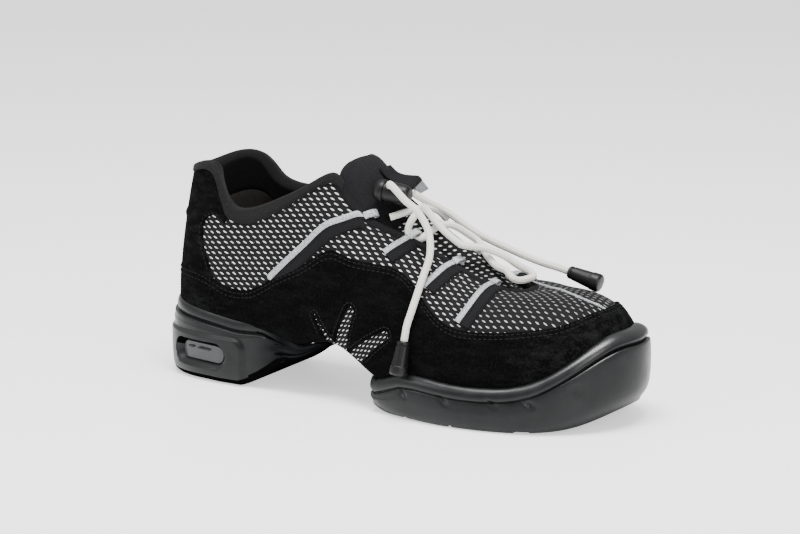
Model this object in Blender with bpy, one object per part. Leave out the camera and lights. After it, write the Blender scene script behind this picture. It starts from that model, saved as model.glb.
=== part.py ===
"""Right dance shoe with a split sole, built over one last.

Lengths are millimetres. X runs from the back of the heel to the toe, -Y is the outer (lateral) side
and Z is up from the floor. The last is a closed loop of sections: u runs from the back of the heel (0)
along the lateral side to the toe tip (HALF) and back along the medial side, and v runs on each section
from the feather line (0), where the wall turns under the foot, to the top line (1) at collar and throat.
"""
from collections import namedtuple

import bpy
import numpy as np

MM = 0.001
# Point of the shoe that becomes the frame's origin: the middle of its footprint, on the floor.
ORIGIN = (132.5, -1.96, 0.0)

# Wall of the upper, extra padding round the collar, gap between pieces, margin turned under the foot,
# and the span over the arch where the upper is closed underneath.
WALL = 2.4
PADDING = 4.6
PADDING_RISE = (0.62, 0.82)
GAP = 0.3
MARGIN = 9.0
ARCH_BACK = 92.0
ARCH_FRONT = 148.0
RIM_RISE = 0.3
RIM_SHARES = (0.25, 0.75)

# Sections of the last: feather point and half widths, lower handle, top line and half widths, upper
# handle, then the sole's underside, bead height and reach past the feather line, and how much higher the
# lateral top line stands.
Section = namedtuple(
    "Section",
    "x lat med z low_out low_up top_x top_lat top_med top_z top_out top_down ground bead spread rise",
    defaults=(0,),
)
SECTIONS = (
    Section(6.5, 0, 0, 21, 2.5, 30, 14.5, 0, 0, 105.7, 6, 30, 0, 40.5, 6.5),
    Section(10.2, 14.3, 14.3, 20.5, 2.5, 30, 16.5, 10, 10, 106.7, 6, 30, 0, 40, 6.5),
    Section(22.5, 24.3, 24.3, 20, 2.5, 28, 25, 19.5, 19.5, 110, 7, 28, 0, 38.5, 6.4),
    Section(42, 28.4, 28, 20, 3, 26, 37, 24.8, 24.5, 108, 7, 26, 0, 36.5, 6.2, 1.8),
    Section(55, 29, 28, 20, 3, 25, 43, 26.2, 25.8, 102, 6, 24, 0, 35, 6.0, -2),
    Section(68, 29.8, 27.8, 20, 3.5, 25, 50, 27.0, 26.4, 96.3, 6, 22, 6, 35.3, 5.4, -6),
    Section(82, 30.8, 27.2, 22, 4, 25, 74, 26.2, 25.2, 95.6, 8, 24, 16, 29.6, 4.0, 0.4),
    Section(97, 32, 26.5, 27, 4, 25, 94, 23.5, 22.5, 106.6, 10, 28, 21.5, 26.6, 2.8),
    Section(110, 33.5, 26.5, 30.3, 4, 25, 106, 21, 20, 111.6, 11, 30, 28, 30.5, 2.2),
    Section(123, 35, 27.5, 26, 4, 25, 114, 20, 19, 102, 13, 24, 20, 25, 2.2),
    Section(138, 38, 29.5, 18, 4, 25, 126, 18.5, 17.5, 91.5, 15, 16, 5, 17, 3.2),
    Section(157, 42, 34.5, 14, 3.5, 25, 146, 15.5, 14.5, 84, 17, 10, 0.6, 22, 4.8),
    Section(181, 44.5, 39, 12.5, 3, 26, 168, 13, 12, 74, 20, 6, 0, 22, 5.2),
    Section(206, 42.5, 40.5, 13, 3, 29, 184, 12, 11, 66.8, 22, 3, 0, 21.7, 5.2),
    Section(227, 36, 37.5, 15, 3, 33, 194, 10.5, 10, 63.3, 25, 0, 0.6, 26.3, 5.4),
    Section(244, 24.5, 31, 18.5, 3, 37, 200.5, 7.5, 7.5, 62, 28, -1, 3.5, 38, 6.0),
    Section(254, 10.5, 21, 21.5, 3.5, 40, 203.5, 4, 4, 61.6, 30, -1, 8, 46.5, 6.6),
    Section(258, -6, 6, 23, 3.5, 40, 204.5, 0, 0, 61.5, 31, -1, 10, 47.5, 7.0),
)

# Stations round the last that its pieces share, rows up the wall, and the raised cuff at the collar.
STATIONS = 72
OUTER_ROWS = (0.0, 0.1, 0.26, 0.42, 0.58, 0.72, 0.82, 0.885, 0.905, 0.95, 1.0)
INNER_ROWS = (1.0, 0.88, 0.74, 0.48, 0.2)
CUFF_EDGE = (0.885, 0.905)
CUFF_STEP = 0.8
COLLAR_END = 106.0
COLLAR_FADE = 3.0

# Row shapes of a sole unit's side, for a side at least TALL high: inset from the widest line, then
# height above the ground line or below the bead line.
TALL = 14.0
LOW_ROWS = ((8.0, 0.0), (2.4, 0.7), (0.6, 3.2))
BEAD_ROWS = ((0.6, 7.4), (1.3, 5.9), (2.8, 5.2), (2.0, 4.1), (1.5, 2.2), (2.3, 0.5))
SEAT_SHARES = (0.0, 0.2, 0.7)
SEAT_EASE = 0.25
BEAD_TOP = 0.7
MIN_LIP = 1.3
END_STATIONS = 5
END_ROUND = 0.7
END_REACH = 1.6
END_DROP = 0.6
HEEL_LEDGE = 1.3
HEEL_LEDGE_SHARE = 0.6
HEEL_LEDGE_END = (52.0, 62.0)
WIDEST_SHARE = 0.38
HEEL_SPAN = 98.0
HEEL_TIP = 111.0
FORE_SPAN = 143.0
FORE_BACK = 135.0

# Window recess in each side of the heel unit, and the pane in it.
WINDOW_X = 30.0
WINDOW_Z = 14.2
WINDOW_SIZE = (37.0, 14.0)
WINDOW_DEPTH = 3.4
WINDOW_CLEAR = 4.0
PANE_SIZE = (29.0, 7.6)
PANE_LIFT = 0.7
PANE_THICK = 1.3

# Slots across the forefoot tread: place along the shoe, and width.
Slot = namedtuple("Slot", "x width")
FLEX_SLOTS = (Slot(160.0, 3.0), Slot(186.0, 3.0), Slot(222.0, 9.0))
SLOT_DEPTH = 1.3
SLOT_REACH = 70.0

# Suede rand round the shoe: its top edge, as v against section number.
OVERLAY = 1.0
OVERLAY_LIFT = 0.4
EdgePoint = namedtuple("EdgePoint", "row v")
RAND_EDGE = (
    EdgePoint(0, 0.42), EdgePoint(1.5, 0.42), EdgePoint(2.7, 0.40), EdgePoint(3.4, 0.375),
    EdgePoint(4.5, 0.40), EdgePoint(5.5, 0.465), EdgePoint(6.2, 0.51), EdgePoint(7.3, 0.54),
    EdgePoint(8.4, 0.61), EdgePoint(9.5, 0.67), EdgePoint(10.6, 0.715), EdgePoint(11.3, 0.68),
    EdgePoint(11.7, 0.57), EdgePoint(12.2, 0.475), EdgePoint(12.8, 0.455), EdgePoint(13.6, 0.45),
    EdgePoint(14.4, 0.44), EdgePoint(15.2, 0.43), EdgePoint(16.1, 0.455), EdgePoint(17, 0.46),
)
RAND_ROWS = (0.1, 0.26, 0.42, 0.58)
RAND_STEP = 0.012
RAND_OVER_BEAD = 0.8
RAND_OVER_ARCH = 0.6

# Mesh prongs cut through the rand over the arch: root, bend and tip in side view, with widths.
Prong = namedtuple("Prong", "root bend tip root_width tip_width")
PRONGS = (
    Prong((116.0, 27.0), (105.5, 35.5), (100.5, 45.5), 5.0, 2.0),
    Prong((117.0, 26.0), (119.5, 41.0), (124.0, 53.0), 8.5, 5.0),
    Prong((124.0, 20.0), (133.5, 34.0), (146.0, 43.5), 10.5, 5.5),
)

PRONG_REACH = 60.0

# Heel counter: how far it runs round the heel, its top edge and rows.
COUNTER_REACH = 3.0
COUNTER_TOP = 0.872
COUNTER_ROWS = 5

# Side bands: section number and v from the throat down to the rand, with the loop past the throat.
BandPoint = namedtuple("BandPoint", "row v")
BANDS = (
    (BandPoint(9.75, 1.0), BandPoint(9.13, 0.888), BandPoint(8.3, 0.777), BandPoint(7.36, 0.688),
     BandPoint(6.45, 0.6), BandPoint(5.85, 0.525)),
    (BandPoint(11.0, 1.0), BandPoint(10.9, 0.93), BandPoint(10.75, 0.86), BandPoint(10.6, 0.8)),
    (BandPoint(12.1, 1.0), BandPoint(11.98, 0.9), BandPoint(11.86, 0.8), BandPoint(11.65, 0.68)),
    (BandPoint(13.6, 1.0), BandPoint(13.44, 0.93), BandPoint(13.15, 0.8), BandPoint(12.85, 0.66),
     BandPoint(12.5, 0.505)),
)
BAND_BACK = 1.8
BAND_FRONT = 7.2
BAND_TOP = 0.985
BAND_CLEAR = 0.02
BAND_SECTIONS = 8
LOOP_WIDTH = 5.0
LOOP_REACH = 7.0

# Tongue: section number, then the crown of its outer face.
Crown = namedtuple("Crown", "row x z")
CROWNS = (
    Crown(8.05, 112.5, 121.0), Crown(8.7, 117.5, 119.0), Crown(9.2, 123.0, 114.0), Crown(9.7, 128.5, 108.0),
    Crown(10.3, 136.0, 101.5), Crown(11.0, 148.5, 93.0), Crown(11.6, 160.0, 86.0), Crown(12.2, 172.0, 78.5),
    Crown(12.9, 183.0, 71.3), Crown(13.6, 191.5, 65.6), Crown(14.4, 197.5, 61.5), Crown(15.2, 201.5, 59.0),
    Crown(16.0, 204.0, 58.0),
)
TONGUE_EDGE_V = 0.86
TONGUE_EDGE_SHARE = 0.72
TONGUE_CLEAR = 0.8
TONGUE_THICK = 3.4
TONGUE_ROOT = (5.0, 10.0)
TONGUE_COLUMNS = 11

INSOLE_THICK = 3.0
INSOLE_CLEAR = 0.9

# Webbing pull on the tongue: its side view, and its width.
PULL_OUTLINE = (
    (122.6, 117.2), (129.2, 112.0), (140.0, 110.4), (140.4, 108.6), (140.0, 106.8), (130.6, 106.8),
    (126.8, 110.3), (123.8, 113.9),
)
PULL_WIDTH = 10.0

# Round elastic lace: places by hand along each strand.
Place = namedtuple("Place", "x y z")
CORD_RADIUS = 1.8
CORD_SIDES = 8
BAR_SPACING = 4.2
END_SPACING = 7.2
LACE_TOP = (
    Place(134.5, -15.0, 93.0), Place(141.6, -9.0, 96.4), Place(147.0, 0.0, 98.0), Place(150.2, 6.0, 94.8),
    Place(152.4, 10.6, 89.4),
)
LACE_CROSS = (
    Place(148.6, -6.0, 98.8), Place(147.9, -10.0, 95.6), Place(147.2, -14.0, 91.8), Place(149.0, -13.6, 90.2),
    Place(153.5, -8.0, 91.0), Place(160.0, 0.0, 89.4), Place(167.5, 6.0, 84.0), Place(171.5, 7.6, 81.0),
    Place(173.5, 6.4, 80.2), Place(181.0, 0.5, 75.6), Place(188.0, -3.0, 72.0), Place(194.0, -4.2, 70.6),
    Place(198.6, -6.4, 68.0), Place(200.4, -4.2, 66.4), Place(202.6, 3.0, 66.0), Place(203.4, 7.0, 66.6),
    Place(201.0, 7.8, 68.4), Place(196.4, 4.6, 71.6), Place(190.5, 1.0, 76.4), Place(182.0, -4.0, 80.4),
    Place(175.0, -8.4, 81.6), Place(172.5, -9.8, 82.2), Place(165.0, -10.0, 86.4), Place(158.0, -9.2, 91.4),
    Place(153.0, -8.8, 96.2), Place(149.8, -10.0, 99.6),
)
LACE_NEAR = (
    Place(135.6, -17.2, 109.5), Place(137.6, -20.2, 110.8), Place(141.6, -22.4, 109.2),
    Place(147.2, -21.8, 103.8), Place(153.0, -20.8, 99.4), Place(160.0, -21.4, 89.4),
    Place(163.0, -25.4, 79.0), Place(162.4, -31.6, 68.4), Place(161.6, -40.0, 55.0),
    Place(160.6, -44.4, 46.0), Place(160.2, -45.6, 40.2),
)
LACE_FAR = (
    Place(142.8, -6.0, 107.0), Place(146.8, 0.6, 104.0), Place(152.4, 7.0, 98.0), Place(167.5, 13.4, 85.8),
    Place(185.0, 18.0, 76.4), Place(200.0, 20.6, 70.8), Place(215.0, 22.0, 67.4),
)

# Moulded cord ends: far end of the barrel, and half width against share of its length.
Turn = namedtuple("Turn", "share radius")
CORD_END = (
    Turn(0.0, 2.3), Turn(0.06, 2.6), Turn(0.72, 3.3), Turn(0.78, 3.7), Turn(0.96, 3.75), Turn(1.0, 3.3),
)
CORD_END_NEAR = Place(158.9, -49.0, 23.6)
CORD_END_FAR = Place(233.0, 22.0, 63.0)
LEAD = 4.0

# Barrel cord lock on the lace.
LOCK_AXIS = (Place(124.6, -13.4, 106.2), Place(143.6, -11.0, 103.8))
LOCK = (
    Turn(0.0, 2.6), Turn(0.04, 4.0), Turn(0.12, 4.8), Turn(0.3, 5.0), Turn(0.34, 4.6), Turn(0.4, 4.6),
    Turn(0.44, 5.0), Turn(0.92, 4.9), Turn(0.98, 4.2), Turn(1.0, 3.2),
)
TURNED_SIDES = 10

BLACK_FABRIC = (0.016, 0.016, 0.018)
BLACK_SUEDE = (0.006, 0.006, 0.007)
BLACK_RUBBER = (0.030, 0.031, 0.033)
BLACK_WEBBING = (0.020, 0.020, 0.022)
BLACK_PLASTIC = (0.012, 0.012, 0.013)
GREY_PANE = (0.30, 0.31, 0.32)
WHITE_CORD = (0.80, 0.78, 0.73)


def spline_slopes(knots, values, period):
    """Second derivatives of the closed cubic spline through values at knots."""
    count = len(knots)
    step = np.diff(np.append(knots, knots[0] + period))
    rise = np.roll(values, -1, axis=0) - values
    matrix = np.zeros((count, count))
    right = np.zeros_like(values)
    for i in range(count):
        before = step[i - 1]
        after = step[i]
        matrix[i, i - 1] += before
        matrix[i, i] += 2 * (before + after)
        matrix[i, (i + 1) % count] += after
        right[i] = 6 * (rise[i] / after - rise[i - 1] / before)
    return np.linalg.solve(matrix, right)


class Last:
    """The shoe's shaping form: every curved piece is read from it."""

    def __init__(self, sections):
        lateral = [self.row(s, -s.lat, -s.top_lat, s.top_z + s.rise) for s in sections]
        medial = [self.row(s, s.med, s.top_med, s.top_z) for s in sections]
        self.rows = np.array(lateral + medial[-2:0:-1], float)
        walk = np.diff(np.append(self.rows, self.rows[:1], axis=0), axis=0)
        step = 0.5 * (np.linalg.norm(walk[:, 0:3], axis=1) + np.linalg.norm(walk[:, 3:6], axis=1))
        step = 0.5 * (step + step[::-1])
        self.knots = np.concatenate([[0.0], np.cumsum(step)[:-1]])
        self.period = float(step.sum())
        self.half = float(self.knots[len(sections) - 1])
        self.bends = spline_slopes(self.knots, self.rows, self.period)

    @staticmethod
    def row(s, low_y, top_y, top_z):
        """One section as numbers: feather point, top point, handles and the sole's edge."""
        return [
            s.x, low_y, s.z, s.top_x, top_y, top_z,
            s.low_out, s.low_up, s.top_out, s.top_down, s.ground, s.bead, s.spread,
        ]

    def at(self, u):
        """All the columns at u."""
        u = np.mod(np.asarray(u, float), self.period)
        i = np.clip(np.searchsorted(self.knots, u, side="right") - 1, 0, len(self.knots) - 1)
        j = (i + 1) % len(self.knots)
        ends = np.append(self.knots[1:], self.period)
        h = ends[i] - self.knots[i]
        b = ((u - self.knots[i]) / h)[..., None]
        a = 1 - b
        h = h[..., None]
        curve = (a**3 - a) * self.bends[i] + (b**3 - b) * self.bends[j]
        return a * self.rows[i] + b * self.rows[j] + curve * h * h / 6

    def out(self, u):
        """Unit vectors in plan, square to the feather line and away from the foot."""
        step = 0.5
        run = self.at(np.asarray(u) + step)[..., 0:2] - self.at(np.asarray(u) - step)[..., 0:2]
        run = run / np.linalg.norm(run, axis=-1, keepdims=True)
        return np.stack([run[..., 1], -run[..., 0], np.zeros_like(run[..., 0])], axis=-1)

    def point(self, u, v):
        """Outer face of the wall."""
        u, v = np.broadcast_arrays(np.asarray(u, float), np.asarray(v, float))
        c = self.at(u)
        out = self.out(u)
        up = np.array([0.0, 0.0, 1.0])
        low = c[..., 0:3]
        top = c[..., 3:6]
        low_handle = low + out * c[..., 6:7] + up * c[..., 7:8]
        top_handle = top + out * c[..., 8:9] - up * c[..., 9:10]
        v = v[..., None]
        w = 1 - v
        return w**3 * low + 3 * w * w * v * low_handle + 3 * w * v * v * top_handle + v**3 * top

    def normal(self, u, v):
        """Unit vectors out of the wall."""
        v = np.asarray(v, float)
        along = self.point(np.asarray(u) + 0.4, v) - self.point(np.asarray(u) - 0.4, v)
        high = np.clip(v + 0.01, 0, 1)
        low = np.clip(v - 0.01, 0, 1)
        across = self.point(u, high) - self.point(u, low)
        n = np.cross(along, across)
        return n / np.linalg.norm(n, axis=-1, keepdims=True)

    def lifted(self, u, v, lift):
        """Outer face moved out of the wall by lift."""
        u, v = np.broadcast_arrays(np.asarray(u, float), np.asarray(v, float))
        return self.point(u, v) + self.normal(u, v) * np.asarray(lift)[..., None]

    def u_of_row(self, row):
        """u at a section number, counted from the heel along the lateral side."""
        return np.interp(row, np.arange(len(self.knots) + 1), np.append(self.knots, self.period))

    def u_of_x(self, x):
        """Lateral u at which the feather line is x from the heel."""
        u = np.linspace(0, self.half, 400)
        return np.interp(x, self.at(u)[:, 0], u)

    def v_of_z(self, u, z):
        """v on the section at u at which the wall is z high."""
        v = np.linspace(0, 1, 120)
        return np.interp(z, np.maximum.accumulate(self.point(u, v)[:, 2]), v)


LAST = Last(SECTIONS)
STATION_U = np.linspace(0, LAST.period, STATIONS, endpoint=False)


def stations_between(first, last):
    """Shared stations by number, which may run below zero or past the last."""
    return np.arange(first, last + 1) * LAST.period / STATIONS


def station_at(x):
    """Number of the lateral station nearest to x along the feather line."""
    return int(round(float(LAST.u_of_x(x)) * STATIONS / LAST.period))


def underside(x):
    """Height of the upper's faceted underside at x."""
    low = LAST.at(STATION_U[: STATIONS // 2 + 1])
    return np.interp(x, low[:, 0], low[:, 2])


def material(name, colour, roughness):
    made = bpy.data.materials.new(name)
    made.use_nodes = True
    shader = made.node_tree.nodes["Principled BSDF"]
    shader.inputs["Base Color"].default_value = (*colour, 1.0)
    shader.inputs["Roughness"].default_value = roughness
    return made


def solid(name, points, faces, skin):
    """One closed mesh object, faces turned outward."""
    points = np.asarray(points, float)
    volume = 0.0
    for face in faces:
        for k in range(1, len(face) - 1):
            volume += np.dot(points[face[0]], np.cross(points[face[k]], points[face[k + 1]]))
    if volume < 0:
        faces = [tuple(reversed(face)) for face in faces]
    mesh = bpy.data.meshes.new(name)
    mesh.from_pydata(((points - np.array(ORIGIN)) * MM).tolist(), [], [tuple(map(int, f)) for f in faces])
    mesh.update()
    for polygon in mesh.polygons:
        polygon.use_smooth = True
    made = bpy.data.objects.new(name, mesh)
    if skin:
        mesh.materials.append(skin)
    bpy.context.scene.collection.objects.link(made)
    return made


def ease(value, start, end):
    """Smooth step from 0 at start to 1 at end."""
    t = np.clip((np.asarray(value, float) - start) / (end - start), 0, 1)
    return t * t * (3 - 2 * t)


def collar_share(u):
    """1 round the collar, 0 along the throat."""
    return 1 / (1 + np.exp((LAST.at(u)[..., 3] - COLLAR_END) / COLLAR_FADE))


def wall_thickness(u, v):
    """Wall of the upper: padded round the collar, thin along the throat."""
    return WALL + PADDING * collar_share(u) * ease(v, *PADDING_RISE)


def cuff_lift(u, v):
    """Raised cuff along the collar."""
    return CUFF_STEP * collar_share(u) * ease(v, *CUFF_EDGE)


def build_upper(skin):
    """Hollow wall, its rim, the margin turned under the foot and the closed arch."""
    u = STATION_U
    out = LAST.out(u)
    low = LAST.at(u)[:, 0:3]
    up = np.array([0.0, 0.0, 1.0])
    margin = low - out * MARGIN
    margin[:, 2] = underside(margin[:, 0])
    rows = [margin]
    for v in OUTER_ROWS:
        rows.append(LAST.lifted(u, v, cuff_lift(u, v)))
    rim = wall_thickness(u, 1.0)[:, None]
    edge = LAST.point(u, 1.0) - LAST.point(u, 0.97)
    edge = edge / np.linalg.norm(edge, axis=1, keepdims=True)
    inward = -LAST.normal(u, 1.0)
    for share in RIM_SHARES:
        rows.append(LAST.point(u, 1.0) + inward * rim * share + edge * rim * RIM_RISE)
    for v in INNER_ROWS:
        rows.append(LAST.lifted(u, v, -wall_thickness(u, v)))
    floor_v = np.array([LAST.v_of_z(k, z) for k, z in zip(u, low[:, 2] + WALL)])
    floor = LAST.lifted(u, floor_v, np.full(STATIONS, -WALL))
    floor[:, 2] = underside(floor[:, 0]) + WALL
    rows.append(floor)
    rows.append(margin + up * WALL)
    points = np.concatenate(rows)
    count = len(rows)

    def index(row, station):
        return (row % count) * STATIONS + station % STATIONS

    bridged = [j for j in range(STATIONS // 2) if ARCH_BACK <= low[j, 0] <= ARCH_FRONT]
    joined = set(bridged[:-1]) | {STATIONS - 1 - j for j in bridged[:-1]}
    faces = []
    for row in range(count):
        for j in range(STATIONS):
            if row == count - 1 and j in joined:
                continue
            faces.append((index(row, j), index(row, j + 1), index(row + 1, j + 1), index(row + 1, j)))
    for j in bridged[:-1]:
        far = STATIONS - j
        faces.append((index(0, j + 1), index(0, j), index(0, far), index(0, far - 1)))
        faces.append((index(-1, j), index(-1, j + 1), index(-1, far - 1), index(-1, far)))
    first = bridged[0]
    last = bridged[-1]
    faces.append((index(0, first), index(-1, first), index(-1, STATIONS - first), index(0, STATIONS - first)))
    faces.append((index(-1, last), index(0, last), index(0, STATIONS - last), index(-1, STATIONS - last)))
    return solid("upper", points, faces, skin)


class SoleUnit:
    """One cup of the split sole, as rings of stations round its outline."""

    def __init__(self, ledge):
        self.ledge = ledge
        self.base = []
        self.columns = []
        self.wall = []

    def add_side(self, u):
        """Stations along the wall of the upper."""
        for k in u:
            self.base.append(LAST.at(k)[0:3])
            ground, bead, spread = LAST.at(k)[10:13]
            self.columns.append(np.array([max(ground, 0.0), bead, spread]))
            self.wall.append(k)

    def add_end(self, start, end, x):
        """Stations of the rounded end under the arch, from one side to the other."""
        turn = np.linspace(0, np.pi, 2 * END_STATIONS + 1)[1:-1]
        middle = 0.5 * (start + end)
        for t in turn:
            reach = np.sin(t) ** END_ROUND
            swing = np.sign(np.cos(t)) * abs(np.cos(t)) ** END_ROUND
            place = middle + (start - middle) * swing
            place[0] = start[0] + (x - start[0]) * reach
            column = LAST.at(LAST.u_of_x(place[0]))
            place[2] = underside(place[0])
            spread = column[12] * (1 - reach) + END_REACH * reach
            bead = min(column[11], place[2] - GAP) * (1 - reach) + (place[2] - END_DROP) * reach
            self.base.append(place)
            self.columns.append(np.array([max(column[10], 0.0), bead, spread]))
            self.wall.append(None)

    @staticmethod
    def lip(u, place, side, z):
        """Nearest that the unit may come to the upper at height z, out from the feather line."""
        if u is None:
            return 0.0
        if z < place[2] - GAP:
            return GAP
        wall = LAST.point(u, LAST.v_of_z(u, z))
        return GAP + max(0.0, float(np.dot(wall - place, side)))

    def rings(self):
        base = np.array(self.base)
        run = np.roll(base, -1, axis=0) - np.roll(base, 1, axis=0)
        run[:, 2] = 0
        run = run / np.linalg.norm(run, axis=1, keepdims=True)
        out = np.stack([run[:, 1], -run[:, 0], 0 * run[:, 0]], axis=1)
        loops = []
        for place, side, (ground, bead, spread), u in zip(base, out, self.columns, self.wall):
            size = min(1.0, (bead - ground) / TALL)
            step = self.ledge * (1 - ease(place[0], *HEEL_LEDGE_END))
            pairs = [(spread - inset * size, ground + rise * size) for inset, rise in LOW_ROWS]
            pairs.append((spread, ground + WIDEST_SHARE * (bead - ground)))
            if self.ledge:
                level = ground + HEEL_LEDGE_SHARE * (bead - ground)
                pairs.append((spread, level - size))
                pairs.append((spread - step, level))
            for inset, drop in BEAD_ROWS:
                pairs.append((spread - inset * size - step, bead - drop * size))
            seat = place[2] - GAP
            pairs = [(max(reach, self.lip(u, place, side, z) + MIN_LIP * size), z) for reach, z in pairs]
            for part in SEAT_SHARES:
                z = bead + (seat - bead) * part
                reach = self.lip(u, place, side, z) + SEAT_EASE * (1 - part)
                pairs.append((reach if part else reach + BEAD_TOP * size, z))
            pairs.append((GAP, seat))
            loops.append([np.array([*(place + side * reach)[0:2], z]) for reach, z in pairs])
        return np.array(loops)

    def build(self, name, skin):
        loops = self.rings()
        stations, rows = loops.shape[0:2]
        faces = []
        for j in range(stations):
            k = (j + 1) % stations
            for row in range(rows - 1):
                faces.append((j * rows + row, k * rows + row, k * rows + row + 1, j * rows + row + 1))
        for row, flip in ((0, False), (rows - 1, True)):
            ring = [j * rows + row for j in range(stations)]
            half = stations // 2
            for j in range(half):
                near = (ring[j], ring[j + 1])
                far = (ring[-j - 1], ring[-j] if j else ring[0])
                quad = [near[0], far[1], far[0], near[1]] if j else [near[0], far[0], near[1]]
                quad = list(dict.fromkeys(quad))
                if len(quad) > 2:
                    faces.append(tuple(reversed(quad) if flip else quad))
        return solid(name, loops.reshape(-1, 3), faces, skin)


def sole_unit(name, u, tip, ledge, skin):
    """Sole unit along the stations u, closed by a round end at x = tip under the arch."""
    unit = SoleUnit(ledge)
    unit.add_side(u)
    unit.add_end(LAST.at(u[-1])[0:3], LAST.at(u[0])[0:3], tip)
    middle = len(u) // 2
    for part in (unit.base, unit.columns, unit.wall):
        part[:] = part[middle:] + part[:middle]
    return unit.build(name, skin)


def build_heel_sole(skin):
    reach = station_at(HEEL_SPAN)
    return sole_unit("heel_sole", stations_between(-reach, reach), HEEL_TIP, HEEL_LEDGE, skin)


def build_forefoot_sole(skin):
    start = station_at(FORE_SPAN)
    return sole_unit("forefoot_sole", stations_between(start, STATIONS - start), FORE_BACK, 0.0, skin)


def cutter(name, points, faces):
    """Closed mesh that a Boolean takes away, kept out of the render."""
    made = solid(name, points, faces, None)
    made.hide_render = True
    made.display_type = "WIRE"
    return made


def cut(target, tool):
    step = target.modifiers.new(tool.name, "BOOLEAN")
    step.operation = "DIFFERENCE"
    step.solver = "EXACT"
    step.object = tool


def grid_shell(inner, outer):
    """Points and faces of the closed plate between two grids of points."""
    rows, columns = inner.shape[0:2]
    points = np.concatenate([inner.reshape(-1, 3), outer.reshape(-1, 3)])
    shift = rows * columns
    faces = []
    for i in range(rows - 1):
        for j in range(columns - 1):
            a = i * columns + j
            quad = (a, a + 1, a + columns + 1, a + columns)
            faces.append(quad)
            faces.append(tuple(k + shift for k in reversed(quad)))
    edge = [i for i in range(columns)]
    edge += [i * columns + columns - 1 for i in range(1, rows)]
    edge += [(rows - 1) * columns + j for j in range(columns - 2, -1, -1)]
    edge += [i * columns for i in range(rows - 2, 0, -1)]
    for k, a in enumerate(edge):
        b = edge[(k + 1) % len(edge)]
        faces.append((b, a, a + shift, b + shift))
    return points, faces


def ring_shell(inner, outer):
    """Points and faces of the closed band between two grids whose rows are closed rings."""
    rows, stations = inner.shape[0:2]
    loop = np.concatenate([inner, outer[::-1]])
    count = 2 * rows
    faces = []
    for i in range(count):
        for j in range(stations):
            k = (j + 1) % stations
            n = (i + 1) % count
            faces.append((i * stations + j, i * stations + k, n * stations + k, n * stations + j))
    return loop.reshape(-1, 3), faces


def stadium(size, count=24):
    """Outline of an oblong with round ends, as offsets along and up."""
    radius = size[1] / 2
    straight = size[0] / 2 - radius
    turn = np.linspace(0, 2 * np.pi, count, endpoint=False) + np.pi / count
    along = np.where(np.cos(turn) > 0, straight, -straight) + radius * np.cos(turn)
    return np.stack([along, radius * np.sin(turn)], axis=1)


def window_prism(size, low, high, mirror):
    """Oblong plate that follows the heel's side, from low to high out of its widest line."""
    u = np.linspace(0, LAST.u_of_x(80.0), 200)
    spread = LAST.at(u)[:, 12:13]
    line = LAST.at(u)[:, 0:3] + LAST.out(u) * spread
    length = np.concatenate([[0], np.cumsum(np.linalg.norm(np.diff(line[:, 0:2], axis=0), axis=1))])
    middle = np.interp(WINDOW_X, line[:, 0], length)
    outline = stadium(size)
    place = np.interp(middle + outline[:, 0], length, u)
    centre = np.interp(middle, length, u)

    def wall(at, z, reach):
        point = LAST.at(at)[:, 0:3] + LAST.out(at) * (LAST.at(at)[:, 12:13] + reach)
        point[:, 2] = z
        return point * (1, -1, 1) if mirror else point

    rings = []
    for reach in (low, high):
        rings.append(wall(place, WINDOW_Z + outline[:, 1], reach))
        rings.append(wall(np.array([centre]), np.array([WINDOW_Z]), reach))
    points = np.concatenate(rings)
    count = len(outline)
    faces = []
    for j in range(count):
        k = (j + 1) % count
        faces.append((k, j, count))
        faces.append((j + count + 1, k + count + 1, 2 * count + 1))
        faces.append((j, k, k + count + 1, j + count + 1))
    return points, faces


def add_windows(heel, skin):
    """Recess and pane in each side of the heel unit."""
    for side, mirror in (("lateral", False), ("medial", True)):
        cut(heel, cutter(f"recess_{side}", *window_prism(WINDOW_SIZE, -WINDOW_DEPTH, WINDOW_CLEAR, mirror)))
        floor = PANE_LIFT - WINDOW_DEPTH
        solid(f"heel_window_{side}", *window_prism(PANE_SIZE, floor, floor + PANE_THICK, mirror), skin)


def add_flex_slots(sole):
    """Slots across the tread."""
    for number, slot in enumerate(FLEX_SLOTS):
        x = (slot.x - slot.width / 2, slot.x + slot.width / 2)
        y = (-SLOT_REACH, SLOT_REACH)
        z = (-SLOT_DEPTH, SLOT_DEPTH)
        points = [(a, b, c) for c in z for b in y for a in x]
        faces = ((0, 2, 3, 1), (4, 5, 7, 6), (0, 1, 5, 4), (2, 6, 7, 3), (0, 4, 6, 2), (1, 3, 7, 5))
        cut(sole, cutter(f"flex_slot_{number}", points, faces))


def build_insole(skin):
    """Plate that lies on the margin and the closed arch."""
    u = STATION_U
    edge = LAST.at(u)[:, 0:3] - LAST.out(u) * (WALL + INSOLE_CLEAR)
    edge[:, 2] = underside(edge[:, 0]) + WALL + GAP
    top = edge + np.array([0, 0, INSOLE_THICK])
    count = len(u)
    faces = []
    for j in range(count):
        k = (j + 1) % count
        faces.append((j, k, k + count, j + count))
    for j in range(count // 2):
        ring = list(dict.fromkeys([j, j + 1, (count - j - 1) % count, (count - j) % count]))
        faces.append(tuple(reversed(ring)))
        faces.append(tuple(k + count for k in ring))
    return solid("insole", np.concatenate([edge, top]), faces, skin)


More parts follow.
